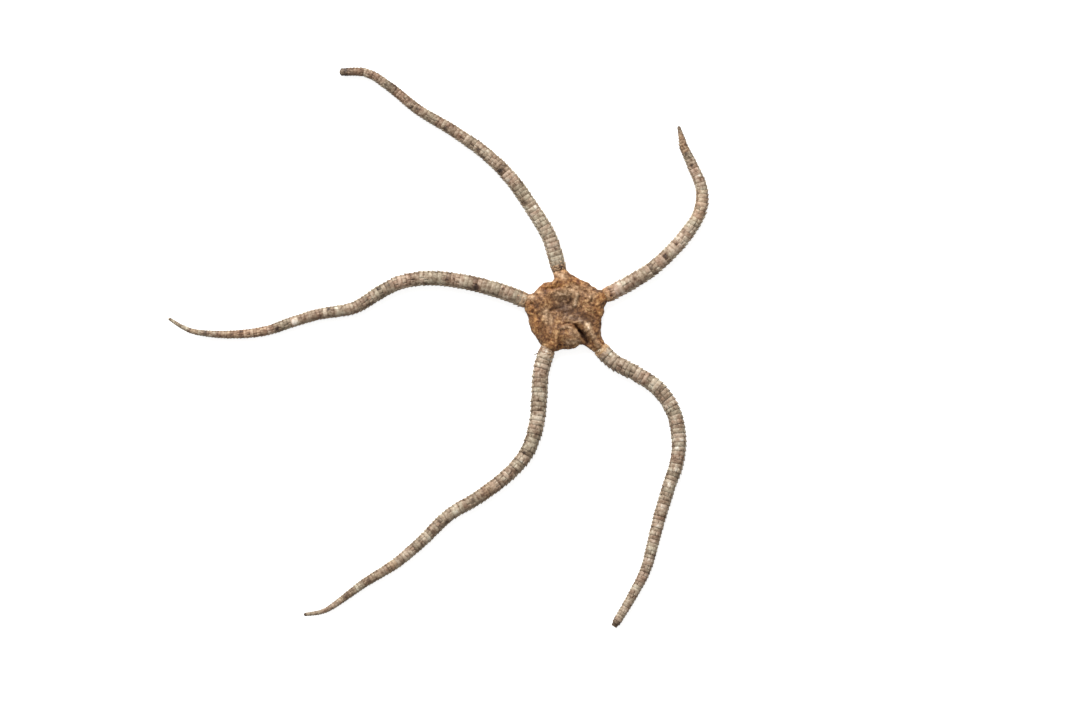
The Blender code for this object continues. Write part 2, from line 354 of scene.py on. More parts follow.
def curved_plate(from_deg, to_deg, reach, thick, tilt_deg):
    """One plate, bent round the arm from one angle to another, where 0 is the arm's side and 90 its top.
    Its outer edge leans out by the tilt, towards the arm's tip."""
    bpy.ops.object.select_all(action="DESELECT")
    bpy.ops.mesh.primitive_circle_add(
        vertices=SECTION_POINTS,
        radius=1,
        fill_type="NGON",
        location=(0.5, 0, reach),
        rotation=(math.pi / 2, -math.radians(tilt_deg), 0),
    )
    plate = bpy.context.object
    points = read_points(plate.data)
    points = np.sign(points) * np.abs(points) ** SECTION_SQUARENESS
    points[np.abs(points) < 0.01] = 0
    write_points(plate.data, points)
    plate.scale = (0.5 + PLATE_OVERLAP, thick, 1)
    apply_place()
    sweep = to_deg - from_deg
    steps = max(2, round(sweep / STEP_DEG))
    bpy.ops.object.mode_set(mode="EDIT")
    bpy.ops.mesh.select_all(action="SELECT")
    bpy.ops.mesh.spin(steps=steps, angle=-math.radians(sweep), center=(0, 0, 0), axis=(1, 0, 0))
    bpy.ops.mesh.select_all(action="SELECT")
    bpy.ops.mesh.normals_make_consistent(inside=False)
    bpy.ops.object.mode_set(mode="OBJECT")
    plate.rotation_euler.x = math.radians(from_deg - 90)
    apply_place()
    points = read_points(plate.data)
    angles = np.degrees(np.arctan2(points[:, 2], points[:, 1]))
    angles = (angles - (from_deg + to_deg) / 2 + 180) % 360 - 180
    ends = np.abs(angles) > sweep / 2 - 0.5 * sweep / steps
    radius = np.hypot(points[:, 1], points[:, 2])
    rise = (radius - reach) / thick
    points[:, 0] = 0.5 + (points[:, 0] - 0.5) * np.where(ends, END_SHORTER, 1.0)
    shrink = (reach + (radius - reach) * np.where(ends, END_THINNER, 1.0)) / radius
    points[:, 1] *= shrink
    points[:, 2] *= shrink
    write_points(plate.data, points)
    # Capping the ends' rise makes the material darken them: painted shade.
    rise = np.where(ends, np.minimum(rise, END_RISE), rise)
    write_fields(plate, rise=rise, edge=np.abs(points[:, 0] - 0.5) * 2)
    return plate


# How far out a plate's middle lies, its half thickness, and how far it tilts, in degrees.
UPPER_PLATE = (0.95, 0.065, 3)
SIDE_PLATE = (0.90, 0.12, 6)
LOWER_PLATE = (0.88, 0.07, 2)
test = curved_plate(38, 142, *UPPER_PLATE)
found = read_points(test.data)
print("an upper plate spans", found.min(0).round(2), found.max(0).round(2))
bpy.data.objects.remove(test)

# %% Arm spines
SPINE_SIDES = 5
SPINE_LENGTH = 0.62
SPINE_THICK = 0.085
SPINE_POINT = 0.45
SPINE_LEAN_DEG = 14
SPINE_FOOT = (0.66, 0.94)
SPINE_ANGLES = (-28, -16, -4, 8, 20, 33)
SPINES = 2 * len(SPINE_ANGLES)


def arm_spine(at_deg, length, thick):
    """A short blunt spine that lies along the arm, on the outer edge of a side plate."""
    lean = math.radians(SPINE_LEAN_DEG)
    way = Vector((math.cos(lean), 0, math.sin(lean)))
    middle = Vector((SPINE_FOOT[0], 0, SPINE_FOOT[1])) + way * (length / 2)
    bpy.ops.object.select_all(action="DESELECT")
    bpy.ops.mesh.primitive_cone_add(
        vertices=SPINE_SIDES,
        radius1=thick,
        radius2=thick * SPINE_POINT,
        depth=length,
        location=middle,
        rotation=(0, math.pi / 2 - lean, 0),
    )
    spine = bpy.context.object
    apply_place()
    spine.rotation_euler.x = math.radians(at_deg - 90)
    apply_place()
    write_fields(spine, rise=0.7, edge=0.0)
    return spine


print(SPINES, "spines on each ring")

# %% Whole rings
# Four rings have a whole upper plate, and three have one in pieces, split at these angles.
RING_SPLITS = 4 * ((36, 144),) + ((36, 86, 144), (36, 104, 144), (36, 72, 112, 144))
SIDE_SPANS = ((-44, 34), (146, 224))
LOWER_SPAN = (236, 304)
SPLIT_GAP = 0.4
PRESSED_BELOW = -0.6
PRESSED_ROUNDNESS = 0.15
RING_FLATNESS = 0.86
random.seed(7)


def press_underside(ring):
    """Flattens the ring's underside, sets the ring on the floor and makes it lower than it is wide."""
    points = read_points(ring.data)
    z = points[:, 2]
    z = np.where(z < PRESSED_BELOW, -1.0 + PRESSED_ROUNDNESS * (z + 1.0), z)
    points[:, 2] = (z + 1.0) * RING_FLATNESS
    write_points(ring.data, points)


def plate_ring(number, splits, with_spines=True):
    """A ring with its upper plate split at these angles. Each of its plates and spines has a number."""
    made = []
    for start, end in zip(splits, splits[1:]):
        made.append(curved_plate(start + SPLIT_GAP, end - SPLIT_GAP, *UPPER_PLATE))
    for start, end in SIDE_SPANS:
        made.append(curved_plate(start, end, *SIDE_PLATE))
    made.append(curved_plate(*LOWER_SPAN, *LOWER_PLATE))
    for at_deg in SPINE_ANGLES if with_spines else ():
        for side_deg in (at_deg, 180 - at_deg):
            length = SPINE_LENGTH * random.uniform(0.85, 1.15)
            made.append(arm_spine(side_deg, length, SPINE_THICK * random.uniform(0.9, 1.1)))
    for k, obj in enumerate(made):
        write_fields(obj, part=k)
    ring = join(made, f"ring_{number}")
    press_underside(ring)
    sort_faces(1.0)
    bpy.ops.object.mode_set(mode="EDIT")
    bpy.ops.mesh.select_all(action="SELECT")
    bpy.ops.uv.smart_project(angle_limit=1.15, island_margin=0.01)
    bpy.ops.object.mode_set(mode="OBJECT")
    bpy.ops.object.shade_smooth()
    return ring


rings = [plate_ring(number, splits) for number, splits in enumerate(RING_SPLITS)]
bare_ring = plate_ring("bare", (36, 144), with_spines=False)
for ring in (*rings, bare_ring):
    print(ring.name, "has", len(ring.data.polygons), "faces")

# %% [markdown]
# ## Colour along the arms
#
# Each plate of the real arm has its own tone: cream, beige, grey-brown or nearly black. Behind that lies a
# banding, and near the disc and the tips the plates are stained orange. The bands were read off the photo,
# one arm at a time. Each row says where a band starts and ends, in millimetres from the start of the
# arm's route, and how much paler or darker it is. The long rows, which come first, are shades that reach
# over many bands. Single dark and pale spots follow. All else is drawn at random from a fixed seed.

# %% Bands read off the photo
ARM_BANDS = {
    "arm_upper_right": (
        (15.5, 25.0, -0.14), (25.0, 35.0, 0.27), (47.0, 58.0, 0.18), (3.0, 5.1, 0.35), (5.2, 8.0, 0.14),
        (10.0, 12.6, -0.16), (13.0, 16.0, 0.20), (16.1, 17.6, -0.18), (17.8, 19.2, 0.10),
        (20.8, 22.3, -0.34), (22.5, 25.2, 0.28), (25.4, 27.0, -0.26), (29.0, 30.2, -0.20),
        (30.8, 32.2, 0.18), (32.6, 33.6, -0.18), (34.0, 36.0, 0.16), (41.4, 43.2, 0.26),
        (43.4, 45.2, -0.16), (45.3, 46.2, 0.24), (46.4, 53.0, -0.22), (53.0, 59.0, -0.30),
    ),
    "arm_upper_left": (
        (8.0, 24.5, 0.18), (25.2, 30.0, -0.20), (40.0, 77.0, -0.15), (3.4, 4.5, -0.42), (6.0, 8.0, 0.08),
        (10.0, 12.0, 0.10), (16.0, 18.4, -0.12), (19.0, 22.0, 0.16), (22.4, 25.2, -0.26),
        (26.0, 28.2, 0.16), (28.4, 29.2, -0.18), (30.0, 32.0, 0.12), (32.4, 35.2, -0.32),
        (36.6, 37.6, 0.12), (42.8, 44.4, -0.16), (45.0, 48.0, 0.16), (48.4, 51.5, -0.16),
        (51.8, 53.4, 0.16), (54.0, 56.5, -0.16), (58.0, 59.6, 0.18), (59.8, 62.2, -0.30),
        (66.8, 70.4, -0.28), (74.0, 77.0, 0.16), (76.8, 84.0, -0.7),
    ),
    "arm_left": (
        (2.0, 10.5, -0.17), (15.5, 30.0, -0.19), (39.0, 70.0, -0.18), (76.0, 85.0, -0.14), (4.4, 8.0, 0.06),
        (11.6, 12.6, -0.14), (15.2, 18.6, -0.24), (19.0, 22.4, 0.16), (22.8, 27.2, -0.14),
        (27.4, 29.8, 0.06), (30.0, 31.0, -0.24), (31.8, 34.4, -0.18), (36.4, 37.6, -0.10),
        (37.8, 39.0, 0.14), (39.2, 42.6, -0.12), (43.0, 45.2, 0.14), (45.6, 50.0, -0.16),
        (50.2, 52.0, 0.12), (56.0, 57.0, -0.20), (58.0, 62.4, -0.24), (65.2, 67.0, 0.50),
        (67.8, 71.4, -0.26), (71.8, 73.6, 0.26), (74.0, 85.2, -0.08), (85.4, 91.0, -0.24),
        (91.0, 112.0, -0.25),
    ),
    "arm_lower_left": (
        (6.8, 16.0, 0.20), (26.0, 34.5, -0.20), (40.0, 47.5, -0.22), (20.5, 25.5, 0.13), (35.0, 40.0, 0.10),
        (3.2, 5.0, -0.08), (5.4, 6.8, 0.12), (9.8, 10.8, -0.20), (12.4, 15.2, 0.14), (16.0, 19.0, -0.14),
        (19.2, 22.8, 0.16), (23.0, 26.2, -0.18), (26.8, 28.8, 0.16), (29.0, 31.2, -0.16),
        (31.4, 33.4, 0.20), (36.8, 41.2, -0.14), (41.4, 42.8, 0.20), (43.0, 46.2, 0.08),
        (48.0, 52.6, -0.30), (52.8, 54.8, 0.20), (55.0, 57.2, -0.24), (57.4, 58.8, 0.16),
        (59.0, 63.6, -0.24), (63.8, 65.2, 0.24), (65.4, 69.0, -0.14), (77.2, 79.2, 0.18),
        (79.4, 86.0, -0.26), (86.5, 92.0, -0.36), (92.0, 112.0, -0.18),
    ),
    "arm_lower_right": (
        (2.0, 6.0, 0.36), (25.6, 29.5, 0.16), (29.5, 35.0, -0.22), (55.0, 84.0, 0.14), (3.0, 5.4, 0.25),
        (5.6, 10.8, 0.04), (11.0, 15.6, -0.14), (15.8, 18.2, 0.14), (18.4, 19.8, -0.16), (20.0, 22.0, 0.18),
        (22.2, 25.6, -0.16), (30.0, 32.4, 0.14), (34.8, 37.8, 0.26), (37.9, 39.1, -0.28),
        (39.2, 40.4, 0.24), (40.5, 43.8, -0.12), (43.9, 45.4, 0.28), (45.5, 48.0, -0.18),
        (48.1, 49.6, 0.26), (49.7, 54.0, -0.20), (54.1, 56.2, 0.26), (56.3, 58.2, -0.24),
        (58.3, 60.4, 0.28), (60.5, 63.8, -0.14), (64.0, 66.5, 0.24), (66.6, 68.1, -0.20),
        (68.2, 69.2, 0.24), (69.4, 72.6, -0.24), (78.0, 79.6, -0.24), (80.0, 84.0, 0.10),
        (86.8, 88.6, -0.50),
    ),
}
# Each row is the start, the end and the strength of an orange stretch.
ORANGE_ENDS = {
    "arm_upper_right": ((2.4, 5.1, 1.5), (33.0, 42.0, 0.35), (52.6, 57.4, 0.7)),
    "arm_upper_left": ((2.0, 4.0, 0.5), (76.8, 80.6, 0.5)),
    "arm_left": ((2.6, 5.0, 0.4), (73.4, 85.4, 0.5), (90.8, 92.8, 0.4)),
    "arm_lower_left": ((42.8, 46.8, 0.35), (74.8, 77.2, 0.6), (79.4, 84.4, 0.25), (86.8, 92.4, 0.3)),
    "arm_lower_right": ((2.4, 5.8, 1.3),),
}


def band_at(rows, distance):
    """The sum of the bands that cover a distance, with soft ends."""
    total = 0.0
    for start, end, shift in rows:
        inside = min(distance - start, end - distance) + 0.2
        total += shift * min(max(inside / 0.4, 0.0), 1.0)
    return total


print(sum(len(rows) for rows in ARM_BANDS.values()), "bands")

# %% Spots read off the photo
# A row is a place along the arm and to the left of its middle line, a half width, all in millimetres, and
# how dark the spot is. A strength below 0 is a pale spot.
ARM_SPOTS = {
    "arm_upper_right": (
        (4.7, -0.5, 0.5, 1.0), (5.0, 1.0, 0.55, 1.0), (8.1, 0.0, 0.5, 0.7), (9.3, 0.1, 0.5, 0.8),
        (12.0, 0.2, 0.6, 0.7), (12.6, -0.7, 0.5, 0.5), (17.1, 0.2, 0.5, 0.6), (21.8, 0.1, 0.8, 0.6),
        (25.6, 0.4, 0.6, 0.6), (29.6, 0.9, 0.6, 0.7), (32.6, -0.5, 0.6, 0.8), (45.2, 0.3, 0.5, -0.8),
        (45.8, -0.4, 0.5, -0.8), (48.8, 0.2, 0.7, 0.7), (50.6, -0.1, 0.6, 0.6), (52.1, 0.2, 0.7, 0.7),
        (55.2, 0.0, 0.5, 0.5),
    ),
    "arm_upper_left": (
        (3.6, -0.5, 0.6, 1.0), (4.0, 0.5, 0.6, 1.0), (4.2, -0.9, 0.5, 0.8), (8.8, -0.5, 0.5, 1.0),
        (16.3, 0.6, 0.6, 0.7), (22.9, 0.6, 0.9, 0.8), (28.2, 0.5, 0.6, 0.6), (31.2, -0.3, 0.5, 0.7),
        (33.3, 0.8, 0.9, 0.8), (39.0, 1.3, 0.6, 0.8), (41.4, 0.3, 0.8, 0.6), (46.7, 0.3, 0.6, 0.5),
        (51.7, 0.8, 0.6, 0.6), (60.3, 0.1, 0.8, 0.8), (61.6, 0.5, 0.5, 0.6), (70.3, 0.2, 0.7, 0.7),
    ),
    "arm_left": (
        (8.8, 0.5, 0.5, 1.0), (9.9, -0.8, 0.5, 1.0), (12.0, 1.3, 0.5, 0.7), (16.6, 0.8, 1.0, 0.7),
        (25.3, -0.6, 0.6, 0.7), (28.6, -0.8, 0.7, -0.7), (30.0, 1.3, 0.6, 1.0), (33.3, 0.3, 0.6, 0.8),
        (38.1, 0.7, 0.7, 0.6), (39.4, -0.5, 0.6, 1.0), (56.5, -0.9, 0.5, 1.0), (65.7, 0.0, 1.0, -1.3),
        (70.6, 0.3, 0.7, 0.8),
    ),
    "arm_lower_left": (
        (4.2, -0.3, 0.9, -0.9), (6.4, -0.7, 0.6, -0.6), (10.2, 0.1, 0.5, 1.0), (17.0, 0.0, 0.6, 0.5),
        (19.8, -1.0, 0.6, 0.7), (23.0, 0.9, 0.7, 1.0), (25.0, 1.5, 0.5, 0.9), (31.0, -0.4, 0.6, 0.6),
        (37.3, 0.3, 0.6, 0.7), (38.7, 1.0, 0.6, 0.9), (49.2, 0.0, 0.9, 0.6), (58.0, 0.9, 0.8, 0.8),
        (62.2, 0.2, 0.8, 0.7), (66.7, 0.5, 0.5, 0.6),
    ),
    "arm_lower_right": (
        (3.9, 0.7, 0.6, -0.8), (4.6, -0.6, 0.6, -0.7), (5.6, -1.1, 0.5, 0.9), (11.4, -0.3, 0.7, 0.6),
        (14.4, 0.0, 0.6, 0.6), (19.2, 0.6, 0.6, 0.6), (37.3, 0.6, 0.6, -0.9), (39.5, -0.5, 0.7, -0.6),
        (44.6, 0.2, 0.8, -0.5), (49.1, -0.1, 0.7, -0.6), (54.9, -0.1, 0.7, -0.5), (59.7, 0.0, 0.8, -0.5),
        (64.2, 0.0, 0.6, -0.6), (68.3, 0.1, 0.6, -0.6),
    ),
}
print(sum(len(rows) for rows in ARM_SPOTS.values()), "spots")

# %% Tones of the plates
BAND_STRENGTH = 0.45
MIDDLE_TONE = 0.52
ORANGE_STRENGTH = 0.6


def slow_noise(distance, seed, size):
    """A slow rise and fall along an arm, between about -1 and 1."""
    return noise.noise(Vector((distance / size, seed * 1.7, seed * 3.1)))


def ring_tones(name, count, distance, seed, rng):
    """Tone, pinkness and orange stain for each plate and spine of one ring. The spines come last."""
    band = BAND_STRENGTH * band_at(ARM_BANDS[name], distance)
    middle = MIDDLE_TONE + band + 0.10 * slow_noise(distance, seed, 2.2)
    tones = middle + rng.normal(0, 0.025) + rng.normal(0, 0.045, count)
    tones[rng.random(count) < 0.04] -= 0.16
    tones[rng.random(count) < 0.04] += 0.14
    pinks = 0.45 + 0.7 * slow_noise(distance, seed + 5, 4.0) + rng.normal(0, 0.16, count)
    stain_here = ORANGE_STRENGTH * band_at(ORANGE_ENDS[name], distance)
    orange = np.clip(stain_here * rng.uniform(0.6, 1.1, count), 0, 1)
    spines = np.arange(count) >= max(count - SPINES, 4)
    tones[spines] = 0.5 * tones[spines] + 0.27
    pinks[spines] *= 0.4
    orange[spines] *= 0.5
    return np.clip(tones, 0.02, 0.98), np.clip(pinks, 0, 1), orange


print("middle tone", MIDDLE_TONE)

# %% [markdown]
# ## The arms
#
# Rings are set side by side along the route. Each is a little different in size and turn, as real plates
# are, and each gets its own cell of the arm's UV map. A tube of dried tissue runs inside them and shows as
# the dark line between plates.

# %% Lay the rings
# All of these are in millimetres, apart from shares and counts. A ring's length follows the arm's width.
PITCH_BASE = 0.42
PITCH_SHARE = 0.2
RING_TO_WIDTH = 0.99
RING_JITTER = 0.012
ROLL_JITTER = 0.02
# Under the disc's skin the rings are smaller, from the first distance to the second.
HIDDEN_ROOT = (1.4, 3.0)
HIDDEN_SHARE = 0.78
# On the lower right arm the skin reaches further on, and the rings start further out, clear of the tear.
SKIN_REACHES_ON = {"arm_lower_right": 1.7}
RINGS_START = {"arm_lower_right": 2.2}
# Before a break the rings stop, and an end piece fills the rest.
RINGS_STOP_SHORT = {"arm_upper_left": 0.1, "arm_lower_right": 1.0}
# The last rings of an arm have lost their spines.
BARE_RINGS = 2


def place_on(cut, distance):
    """The point on the floor, the way the arm runs, its lift and its width, at a distance in millimetres."""
    x, y, lift, width = (np.interp(distance, cut[:, 0], cut[:, k]) for k in (1, 2, 3, 4))
    ahead = min(distance + 0.3, cut[-1, 0])
    behind = max(distance - 0.3, 0)
    dx = np.interp(ahead, cut[:, 0], cut[:, 1]) - np.interp(behind, cut[:, 0], cut[:, 1])
    dy = np.interp(ahead, cut[:, 0], cut[:, 2]) - np.interp(behind, cut[:, 0], cut[:, 2])
    return Vector((x, y, lift)), math.atan2(dy, dx), float(width)


def ring_starts(cut, length):
    """Where each ring starts and how long it is. Rings are shorter where the arm is thinner."""
    starts = [0.0]
    while starts[-1] < length:
        starts.append(starts[-1] + PITCH_BASE + PITCH_SHARE * place_on(cut, starts[-1])[2])
    starts = np.array(starts) * length / starts[-1]
    return list(zip(starts[:-1], np.diff(starts)))


def root_share(distance):
    """Rings under the disc's skin are smaller, so that none of them pushes through it."""
    start, end = HIDDEN_ROOT
    return HIDDEN_SHARE + (1 - HIDDEN_SHARE) * min(max((distance - start) / (end - start), 0), 1)


def spot_field(name, points):
    """How dark or pale the arm's spots make each point. Spots lie on the upper side."""
    values = np.zeros(len(points))
    for distance, left, half_width, strength in ARM_SPOTS[name]:
        at, heading, width = place_on(ARM_CUT[name], distance)
        at = DISC_AT / MM + at + Vector((-math.sin(heading), math.cos(heading), 0)) * left
        reach = np.hypot(points[:, 0] / MM - at.x, points[:, 1] / MM - at.y)
        upper = points[:, 2] / MM > at.z + 0.3 * width
        values += strength * np.clip(1.4 * (1 - reach / half_width), 0, 1) * upper
    return values


def lay_rings(name, seed):
    """The rings of an arm, with the tone, pinkness and orange stain of each plate in attributes."""
    cut = ARM_CUT[name]
    rng = np.random.default_rng(seed)
    places = ring_starts(cut, cut[-1, 0] - RINGS_STOP_SHORT.get(name, 0.0))
    places = [place for place in places if place[0] >= RINGS_START.get(name, 0.0)]
    cells = math.ceil(math.sqrt(len(places) + 3))
    copies = []
    for i, (start, pitch) in enumerate(places):
        point, heading, width = place_on(cut, start)
        half = 0.5 * width * RING_TO_WIDTH * rng.normal(1, RING_JITTER)
        half *= root_share(start - SKIN_REACHES_ON.get(name, 0.0))
        source = rings[rng.integers(len(rings))]
        if i >= len(places) - BARE_RINGS:
            source = bare_ring
        size = Matrix.Diagonal((pitch * MM, half * MM, half * MM * rng.normal(1, RING_JITTER), 1))
        roll = Matrix.Rotation(rng.normal(0, ROLL_JITTER), 4, "X")
        turn = Matrix.Rotation(heading + rng.normal(0, RING_JITTER), 4, "Z")
        copied = own_copy(source, "ring_copy")
        copied.matrix_world = Matrix.Translation(DISC_AT + point * MM) @ turn @ roll @ size
        move_uvs(copied.data, i % cells, i // cells, cells, 0.01)
        part = np.empty(len(copied.data.vertices), dtype=np.float32)
        copied.data.attributes["part"].data.foreach_get("value", part)
        part = part.astype(int)
        tones, pinks, orange = ring_tones(name, part.max() + 1, start + pitch / 2, seed, rng)
        write_fields(copied, tone=tones[part], pink=pinks[part], orange=orange[part])
        copies.append(copied)
    return copies, cells


left_starts = [float(start) for start, _ in ring_starts(ARM_CUT["arm_left"], ARM_CUT["arm_left"][-1, 0])]
print("the left arm has", len(left_starts), "rings, the second from", round(left_starts[1], 2), "mm")

# %% [markdown]
# ## The ends of the arms
#
# Three arms run out to a fine tip, which ends in a small terminal plate. The other two are snapped off, and
# there the dark end of the joint inside, worn round, shows in the last ring. Both are a small ball that is
# stretched to size and made uneven.

# %% End pieces
# Each row holds the half length and the half width as a share of the arm's there, and the tone.
ARM_END = {
    "arm_upper_right": (0.5, 1.05, 0.12),
    "arm_upper_left": (0.5, 0.84, 0.20),
    "arm_left": (0.35, 0.85, 0.8),
    "arm_lower_left": (0.5, 1.05, 0.15),
    "arm_lower_right": (0.9, 0.86, 0.10),
}


def end_piece(name, cells):
    """The uneven knob that closes an arm, with the same attributes as the rings and a UV cell of its own."""
    cut = ARM_CUT[name]
    half_length, share, tone = ARM_END[name]
    at, heading, width = place_on(cut, cut[-1, 0] - RINGS_STOP_SHORT.get(name, 0.0))
    half = 0.5 * width * share
    bpy.ops.object.select_all(action="DESELECT")
    bpy.ops.mesh.primitive_uv_sphere_add(segments=14, ring_count=9, radius=1)
    sort_faces(1.0)
    knob = bpy.context.object
    knob.rotation_euler.y = math.pi / 2
    apply_place()
    points = read_points(knob.data)
    bumps = np.array([noise.noise(Vector(p) * 2.2 + Vector((7.0 * half, 0, 0))) for p in points])
    points *= (1 + 0.25 * bumps)[:, None]
    write_points(knob.data, points)
    size = Vector((half_length, half, half * RING_FLATNESS))
    lie = Matrix.LocRotScale(at + Vector((0, 0, half * 0.9)), Euler((0, 0, heading)), size)
    knob.matrix_world = Matrix.Translation(DISC_AT) @ Matrix.Scale(MM, 4) @ lie
    apply_place()
    bpy.ops.object.shade_smooth()
    write_fields(knob, tone=tone + 0.5 * bumps, rise=0.6, edge=0.0, pink=0.35)
    move_uvs(knob.data, cells - 1, cells - 1, cells, 0.02)
    return knob


# A single dark spine stands out sideways at the root of the lower left arm.
LOOSE_SPINE = (Vector((-6.9, -10.5, 1.3)), Vector((-8.4, -10.95, 1.1)))
LOOSE_SPINE_RADII = (0.22 * MM, 0.09 * MM)


def loose_spine(cells):
    """The spine that stands out, with the same attributes as the rings."""
    foot, tip = LOOSE_SPINE
    bpy.ops.object.select_all(action="DESELECT")
    thick, thin = LOOSE_SPINE_RADII
    length = (tip - foot).length * MM
    bpy.ops.mesh.primitive_cone_add(vertices=7, radius1=thick, radius2=thin, depth=length)
    spine = bpy.context.object
    turn = (tip - foot).to_track_quat("Z", "Y").to_matrix().to_4x4()
    spine.matrix_world = Matrix.Translation(DISC_AT + (foot + tip) / 2 * MM) @ turn
    apply_place()
    write_fields(spine, tone=0.15, rise=0.6, edge=0.0, pink=0.5)
    move_uvs(spine.data, cells - 2, cells - 1, cells, 0.02)
    return spine


arms = {}
for seed, name in enumerate(ARM_ROUTE):
    copies, cells = lay_rings(name, seed + 11)
    if name == "arm_lower_left":
        copies.append(loose_spine(cells))
    arm = join([*copies, end_piece(name, cells)], name + "_plates")
    apply_place()
    arm.data.uv_layers[0].name = "OFBake"
    points = read_points(arm.data)
    points[:, 2] = np.maximum(points[:, 2], 0)
    write_points(arm.data, points)
    write_fields(arm, spot=spot_field(name, points))
    arms[name] = arm
    print(arm.name, "has", len(arm.data.polygons), "faces in", len(copies), "pieces")

# %% [markdown]
# ## The plates' material
#
# Dried echinoderm plates are porous calcite: pale, chalky and dull, with a faint waxy sheen where they are
# rubbed. The colour comes from each plate's tone, with a finer speckle over it. The seams show dried tissue
# and are darkened in the colour by dirt and painted shade, and the low-lying parts of each plate by painted
# shade.

# %% Calcite arm plates
BLOTCH_MM = 1.3
MOTTLE_MM = 0.5
GRIT_MM = 0.12
BLOTCH_GAIN = 1.15
MOTTLE_GAIN = 0.8
# The two noises lift the tone by about this much, which comes off again.
NOISE_LIFT = 0.995
# The seams are darkened by dirt and painted shade, the low-lying parts of a plate by painted shade.
SEAM_DIRT_AND_SHADE = 0.87
LOW_SHADE = 0.66
# Each paint runs from the darkest tone to the palest.
OLIVE = ("3d3126", "74644f", "9f8f78", "c1b49c", "e6decd")
PINK = ("422c1f", "7d5f49", "a98c75", "cbb09c", "ebdacb")
RUSTY = ("452512", "7a4e2e", "ad7a4c", "d2aa76", "eed8b0")


def calcite_plates():
    """Dull porous calcite: cream to grey-brown by plate, with mottling and dark spots, seams darkened by
    dirt and painted shade, and low parts darkened by painted shade.
    """
    material, tree, shader = new_material("dried calcite arm plates", roughness=0.62, ior=1.5)
    place = add_node(tree, "TexCoord").outputs["Object"]
    fields = {
        name: add_node(tree, "Attribute", {"attribute_name": name}).outputs["Fac"]
        for name in ("tone", "pink", "orange", "rise", "edge", "spot")
    }
    grain = {"Vector": place, "Detail": 3.0, "Roughness": 0.55}
    blotch = add_node(tree, "TexNoise", inputs={**grain, "Scale": 1 / (BLOTCH_MM * MM)})
    mottle = add_node(tree, "TexNoise", inputs={**grain, "Scale": 1 / (MOTTLE_MM * MM)})
    times, times_add = {"operation": "MULTIPLY"}, {"operation": "MULTIPLY_ADD"}
    minus = {"operation": "SUBTRACT", "use_clamp": True}
    tone = add_node(tree, "Math", times_add, {0: blotch, 1: BLOTCH_GAIN, 2: fields["tone"]})
    tone = add_node(tree, "Math", times_add, {0: mottle, 1: MOTTLE_GAIN, 2: tone})
    spot = add_node(tree, "Math", times, {0: fields["spot"], 1: mottle})
    tone = add_node(tree, "Math", times_add, {0: spot, 1: -1.0, 2: tone})
    tone = add_node(tree, "Math", minus, {0: tone, 1: NOISE_LIFT})
    olive, pink, rusty = (
        add_node(tree, "ValToRGB", inputs={"Fac": tone}, stops=list(zip((0.0, 0.25, 0.5, 0.75, 1.0), paint)))
        for paint in (OLIVE, PINK, RUSTY)
    )
    mixed = {"data_type": "RGBA"}
    warm = add_node(tree, "Math", times_add, {0: blotch, 1: 1.6, 2: -0.8})
    warm = add_node(tree, "Math", minus, {0: fields["pink"], 1: warm})
    colour = add_node(tree, "Mix", mixed, {0: warm, 6: olive, 7: pink})
    colour = add_node(tree, "Mix", mixed, {0: fields["orange"], 6: colour, 7: rusty})
    eased = {"interpolation_type": "SMOOTHSTEP"}
    # Painted shade: the low-lying parts darken by their rise. Dirt and painted shade: the seams darken by
    # their edge.
    low = {"Value": fields["rise"], "From Min": -0.2, "From Max": 0.75, "To Min": LOW_SHADE, "To Max": 1.0}
    seam = {"Value": fields["edge"], "From Min": 0.86, "From Max": 1.12, "To Min": 1.0, "To Max": SEAM_DIRT_AND_SHADE}
    low, seam = (add_node(tree, "MapRange", eased, inputs) for inputs in (low, seam))
    dirt_and_shade = add_node(tree, "Math", times, {0: low, 1: seam})
    colour = add_node(tree, "Mix", {**mixed, "blend_type": "MULTIPLY"}, {0: 1.0, 6: colour, 7: dirt_and_shade})
    tree.links.new(colour.outputs[2], shader.inputs["Base Color"])
    grit = add_node(tree, "TexNoise", inputs={**grain, "Scale": 1 / (GRIT_MM * MM)})
    bump = add_node(tree, "Bump", inputs={"Height": grit, "Strength": 0.35, "Distance": 0.05 * MM})
    tree.links.new(bump.outputs["Normal"], shader.inputs["Normal"])
    return material


def dress(piece, material):
    """Gives a piece its one material."""
    piece.data.materials.clear()
    piece.data.materials.append(material)


plates_material = calcite_plates()
for name, arm in arms.items():
    dress(arm, plates_material)
    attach(arm, "root")
    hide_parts(name)
for ring in (*rings, bare_ring):
    bpy.data.objects.remove(ring)
print("plates dressed")

# %% [markdown]
# ## Dried tissue inside the arms
#
# Between the plates the real arm shows shrunken brown tissue. It is a plain tube along the same route, a
# little thinner than the plates, so that it shows only in the gaps. A curve with its own section makes it.

# %% Tissue tubes
TISSUE_SHARE = 0.75
SECTION_SIDES = 12
ROUTE_STRIDE = 12
STREAK_MM = 0.6


def tissue_section():
    """The tube's flattened section, at an arm half width of 1."""
    curve = bpy.data.curves.new("tissue_section", "CURVE")
    spline = curve.splines.new("POLY")
    spline.points.add(SECTION_SIDES - 1)
    spline.use_cyclic_u = True
    for k, point in enumerate(spline.points):
        angle = 2 * math.pi * k / SECTION_SIDES
        height = RING_FLATNESS + RING_FLATNESS * TISSUE_SHARE * math.sin(angle)
        point.co = (TISSUE_SHARE * math.cos(angle), height, 0, 1)
    section = bpy.data.objects.new("tissue_section", curve)
    bpy.context.scene.collection.objects.link(section)
    return section


